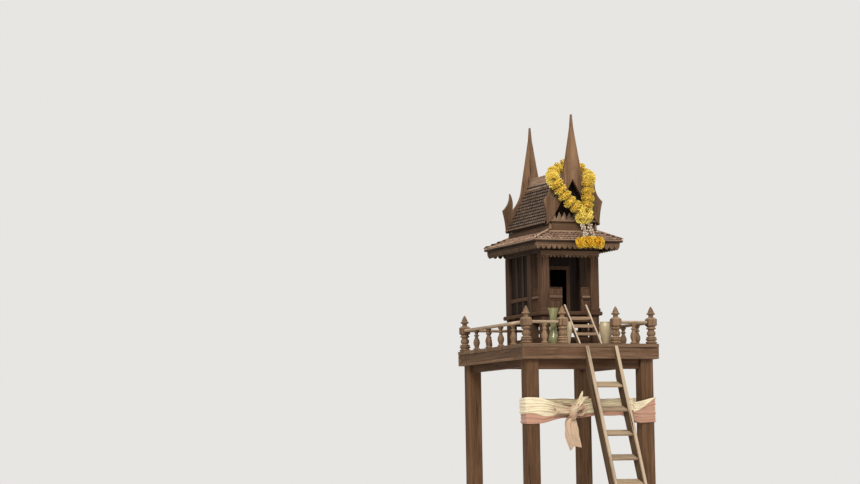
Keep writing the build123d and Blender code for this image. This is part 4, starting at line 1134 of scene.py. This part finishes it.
    knot = Piece()
    down, sides = 25, 44
    for centre, size, lean, tone, seed in (
            ((0, 0, 0), (0.015, 0.0145, 0.031), 0.12, 0.55, 0.0),
            ((0.006, -0.003, 0.012), (0.012, 0.013, 0.018), 0.75, 0.15, 2.0),
            ((-0.004, -0.003, -0.01), (0.016, 0.013, 0.013), -0.5, 0.85, 4.0)):
        x, y, z = knot_x + centre[0], knot_y + centre[1], knot_z + centre[2]
        rings = []
        for across in (math.pi * (i + 0.5) / down for i in range(down)):
            ring = []
            for around in (2 * math.pi * j / sides for j in range(sides)):
                crease = (1 + 0.13 * math.sin(3 * around + 4 * across + seed)
                          + 0.08 * math.sin(7 * around - 3 * across + seed)
                          + 0.06 * math.sin(13 * around + 5 * across))
                radius = math.sin(across) ** 0.8 * crease
                spot = Vector((size[0] * radius * math.cos(around), size[1] * radius * math.sin(around),
                               size[2] * math.cos(across)))
                spot.rotate(Matrix.Rotation(lean, 3, "Y"))
                ring.append((x + spot.x, y + spot.y, z + spot.z))
            rings.append(ring)
        knot.loft(rings, tint=tone)
    made = knot.build("sash_knot", CLOTH, "sash_cloth", ["sash_bow"], smooth=180)


sash()


# Vases
def coated(name, scale, detail, spots, pale, dark, roughs, relief, **inputs):
    """A smooth coated material with a film of dust; spots are where the dust starts and is full."""
    k = Shader(name)
    film = k.noise(k.place(), scale, detail)
    color = k.blend(k.stretch(film, *spots), pale, dark)
    return k.finish(color, k.stretch(film, 0.3, 0.7, *roughs), film, relief, 0.001, **inputs)


GLASS = coated("green glass", (30.0, 30.0, 18.0), 4.0, (0.4, 0.7), (0.44, 0.43, 0.19), (0.58, 0.55, 0.29),
               (0.1, 0.34), 0.12, Transmission_Weight=0.55, IOR=1.45, Coat_Weight=0.3)
GLAZE = coated("white glaze", (22.0, 22.0, 9.0), 5.0, (0.42, 0.72), (0.5, 0.41, 0.245), (0.36, 0.27, 0.145),
               (0.22, 0.55), 0.15, Coat_Weight=0.25)


def vases(name, node, material, slot, wall, profile):
    """Hollow vases from a profile of (radius, height) shares."""
    def vase(piece, low, high):
        height = high[2] - low[2]
        radius = (high[0] - low[0]) / 2
        points = np.array([(r * radius, h * height) for r, h in profile])
        outside = [tuple(p) for p in curve_through(points, 5)]
        inside = [(max(r - wall, 0.002), max(h, 0.007)) for r, h in reversed(outside[3:])]
        brim = outside[-1][0]
        lip = [(brim, height - 0.0008), (brim - wall * 0.3, height), (brim - wall * 0.7, height)]
        piece.lathe(outside[:-1] + lip + inside, low, high, low[2], 40)

    each(name, node, material, slot, vase, smooth=50)


vases("green_glass_vase", "green_vase", GLASS, "green_glass", 0.0022,
      [(0.77, 0), (0.9, 0.03), (0.95, 0.15), (0.73, 0.3), (0.55, 0.5), (0.6, 0.74), (0.78, 0.9), (1, 1)])
vases("white_glazed_vases", "white_vases", GLAZE, "white_glaze", 0.003,
      [(0.5, 0), (0.6, 0.04), (0.78, 0.32), (0.95, 0.57), (1, 0.76), (0.93, 0.9), (0.84, 0.95), (0.88, 1)])


# Floor, light and camera
def stage():
    """A pale floor that fades into the background, and soft light."""
    backdrop = (0.8, 0.79, 0.765)
    fade_start, fade_end, sides = 2.0, 5.0, 48
    k = Shader("studio floor")
    place = k.place()
    mottle = k.noise(place, (0.6, 0.6, 0.6), 3.0)
    color = k.blend(k.stretch(mottle, 0.3, 0.7), (0.7, 0.69, 0.67), (0.74, 0.73, 0.71))
    near = k.node("BsdfPrincipled", {"Base Color": color, "Roughness": 0.9})
    away = k.node("VectorMath", {0: place}, operation="LENGTH").outputs["Value"]
    far = k.node("Emission", {"Color": backdrop, "Strength": 1.0})
    share = k.times(k.stretch(away, fade_start, fade_end), k.node("LightPath").outputs["Is Camera Ray"])
    mixed = k.node("MixShader", {0: share, 1: near.outputs[0], 2: far.outputs[0]})
    k.node("OutputMaterial", {"Surface": mixed.outputs[0]})
    points = [(0.0, 0.0, 0.0)]
    for radius in (5.0, 40.0):
        for angle in (2 * math.pi * i / sides for i in range(sides)):
            points.append((radius * math.cos(angle), radius * math.sin(angle), 0.0))
    faces = [(0, 1 + i, 1 + (i + 1) % sides) for i in range(sides)]
    faces += [tuple(reversed(face)) for face in quads(2, sides, True, 1)]
    mesh = bpy.data.meshes.new("floor")
    mesh.from_pydata(points, [], faces)
    mesh.materials.append(k.made)
    new_object("floor", mesh)
    k = Shader("studio", world=True)
    color = k.blend(k.node("LightPath").outputs["Is Camera Ray"], (0.46, 0.455, 0.44), backdrop)
    k.node("OutputWorld", {"Surface": k.node("Background", {"Color": color}).outputs[0]})
    bpy.context.scene.world = k.made
    for name, spot, aim, size, power in (
            ("key", (-2.4, -4.4, 4.8), (0, 0, 1.3), 2.4, 300.0),
            ("fill", (4.2, -3.4, 2.4), (0, 0, 1.3), 3.0, 60.0),
            ("top", (0.3, 1.5, 5.2), (0, 0, 1.4), 3.0, 130.0)):
        data = bpy.data.lights.new(name, "AREA")
        data.size = size
        data.energy = power
        lamp = new_object(name, data)
        lamp.location = spot
        lamp.rotation_euler = (Vector(aim) - Vector(spot)).to_track_quat("-Z", "Y").to_euler()


def camera():
    """The camera stands where the photograph was taken from, low and to the left."""
    yaw, pitch, roll = 0.3721, 0.091, -0.0161
    across, before, eye = -4.3823, 9.4016, 0.5876
    sensor, focal_pixels, picture_width = 36.0, 2500.0, 860.0
    forward = Vector((math.sin(yaw) * math.cos(pitch), math.cos(yaw) * math.cos(pitch), math.sin(pitch)))
    right = Vector((math.cos(yaw), -math.sin(yaw), 0.0))
    up = right.cross(forward)
    right, up = math.cos(roll) * right + math.sin(roll) * up, math.cos(roll) * up - math.sin(roll) * right
    data = bpy.data.cameras.new("camera")
    data.sensor_width = sensor
    data.lens = sensor * focal_pixels / picture_width
    data.clip_end = 100.0
    made = new_object("camera", data)
    matrix = Matrix((right, up, -forward)).transposed().to_4x4()
    matrix.translation = Vector((across, FRONT - before, eye))
    made.matrix_world = matrix
    bpy.context.scene.camera = made


stage()
camera()
bpy.context.scene.view_settings.view_transform = "Standard"
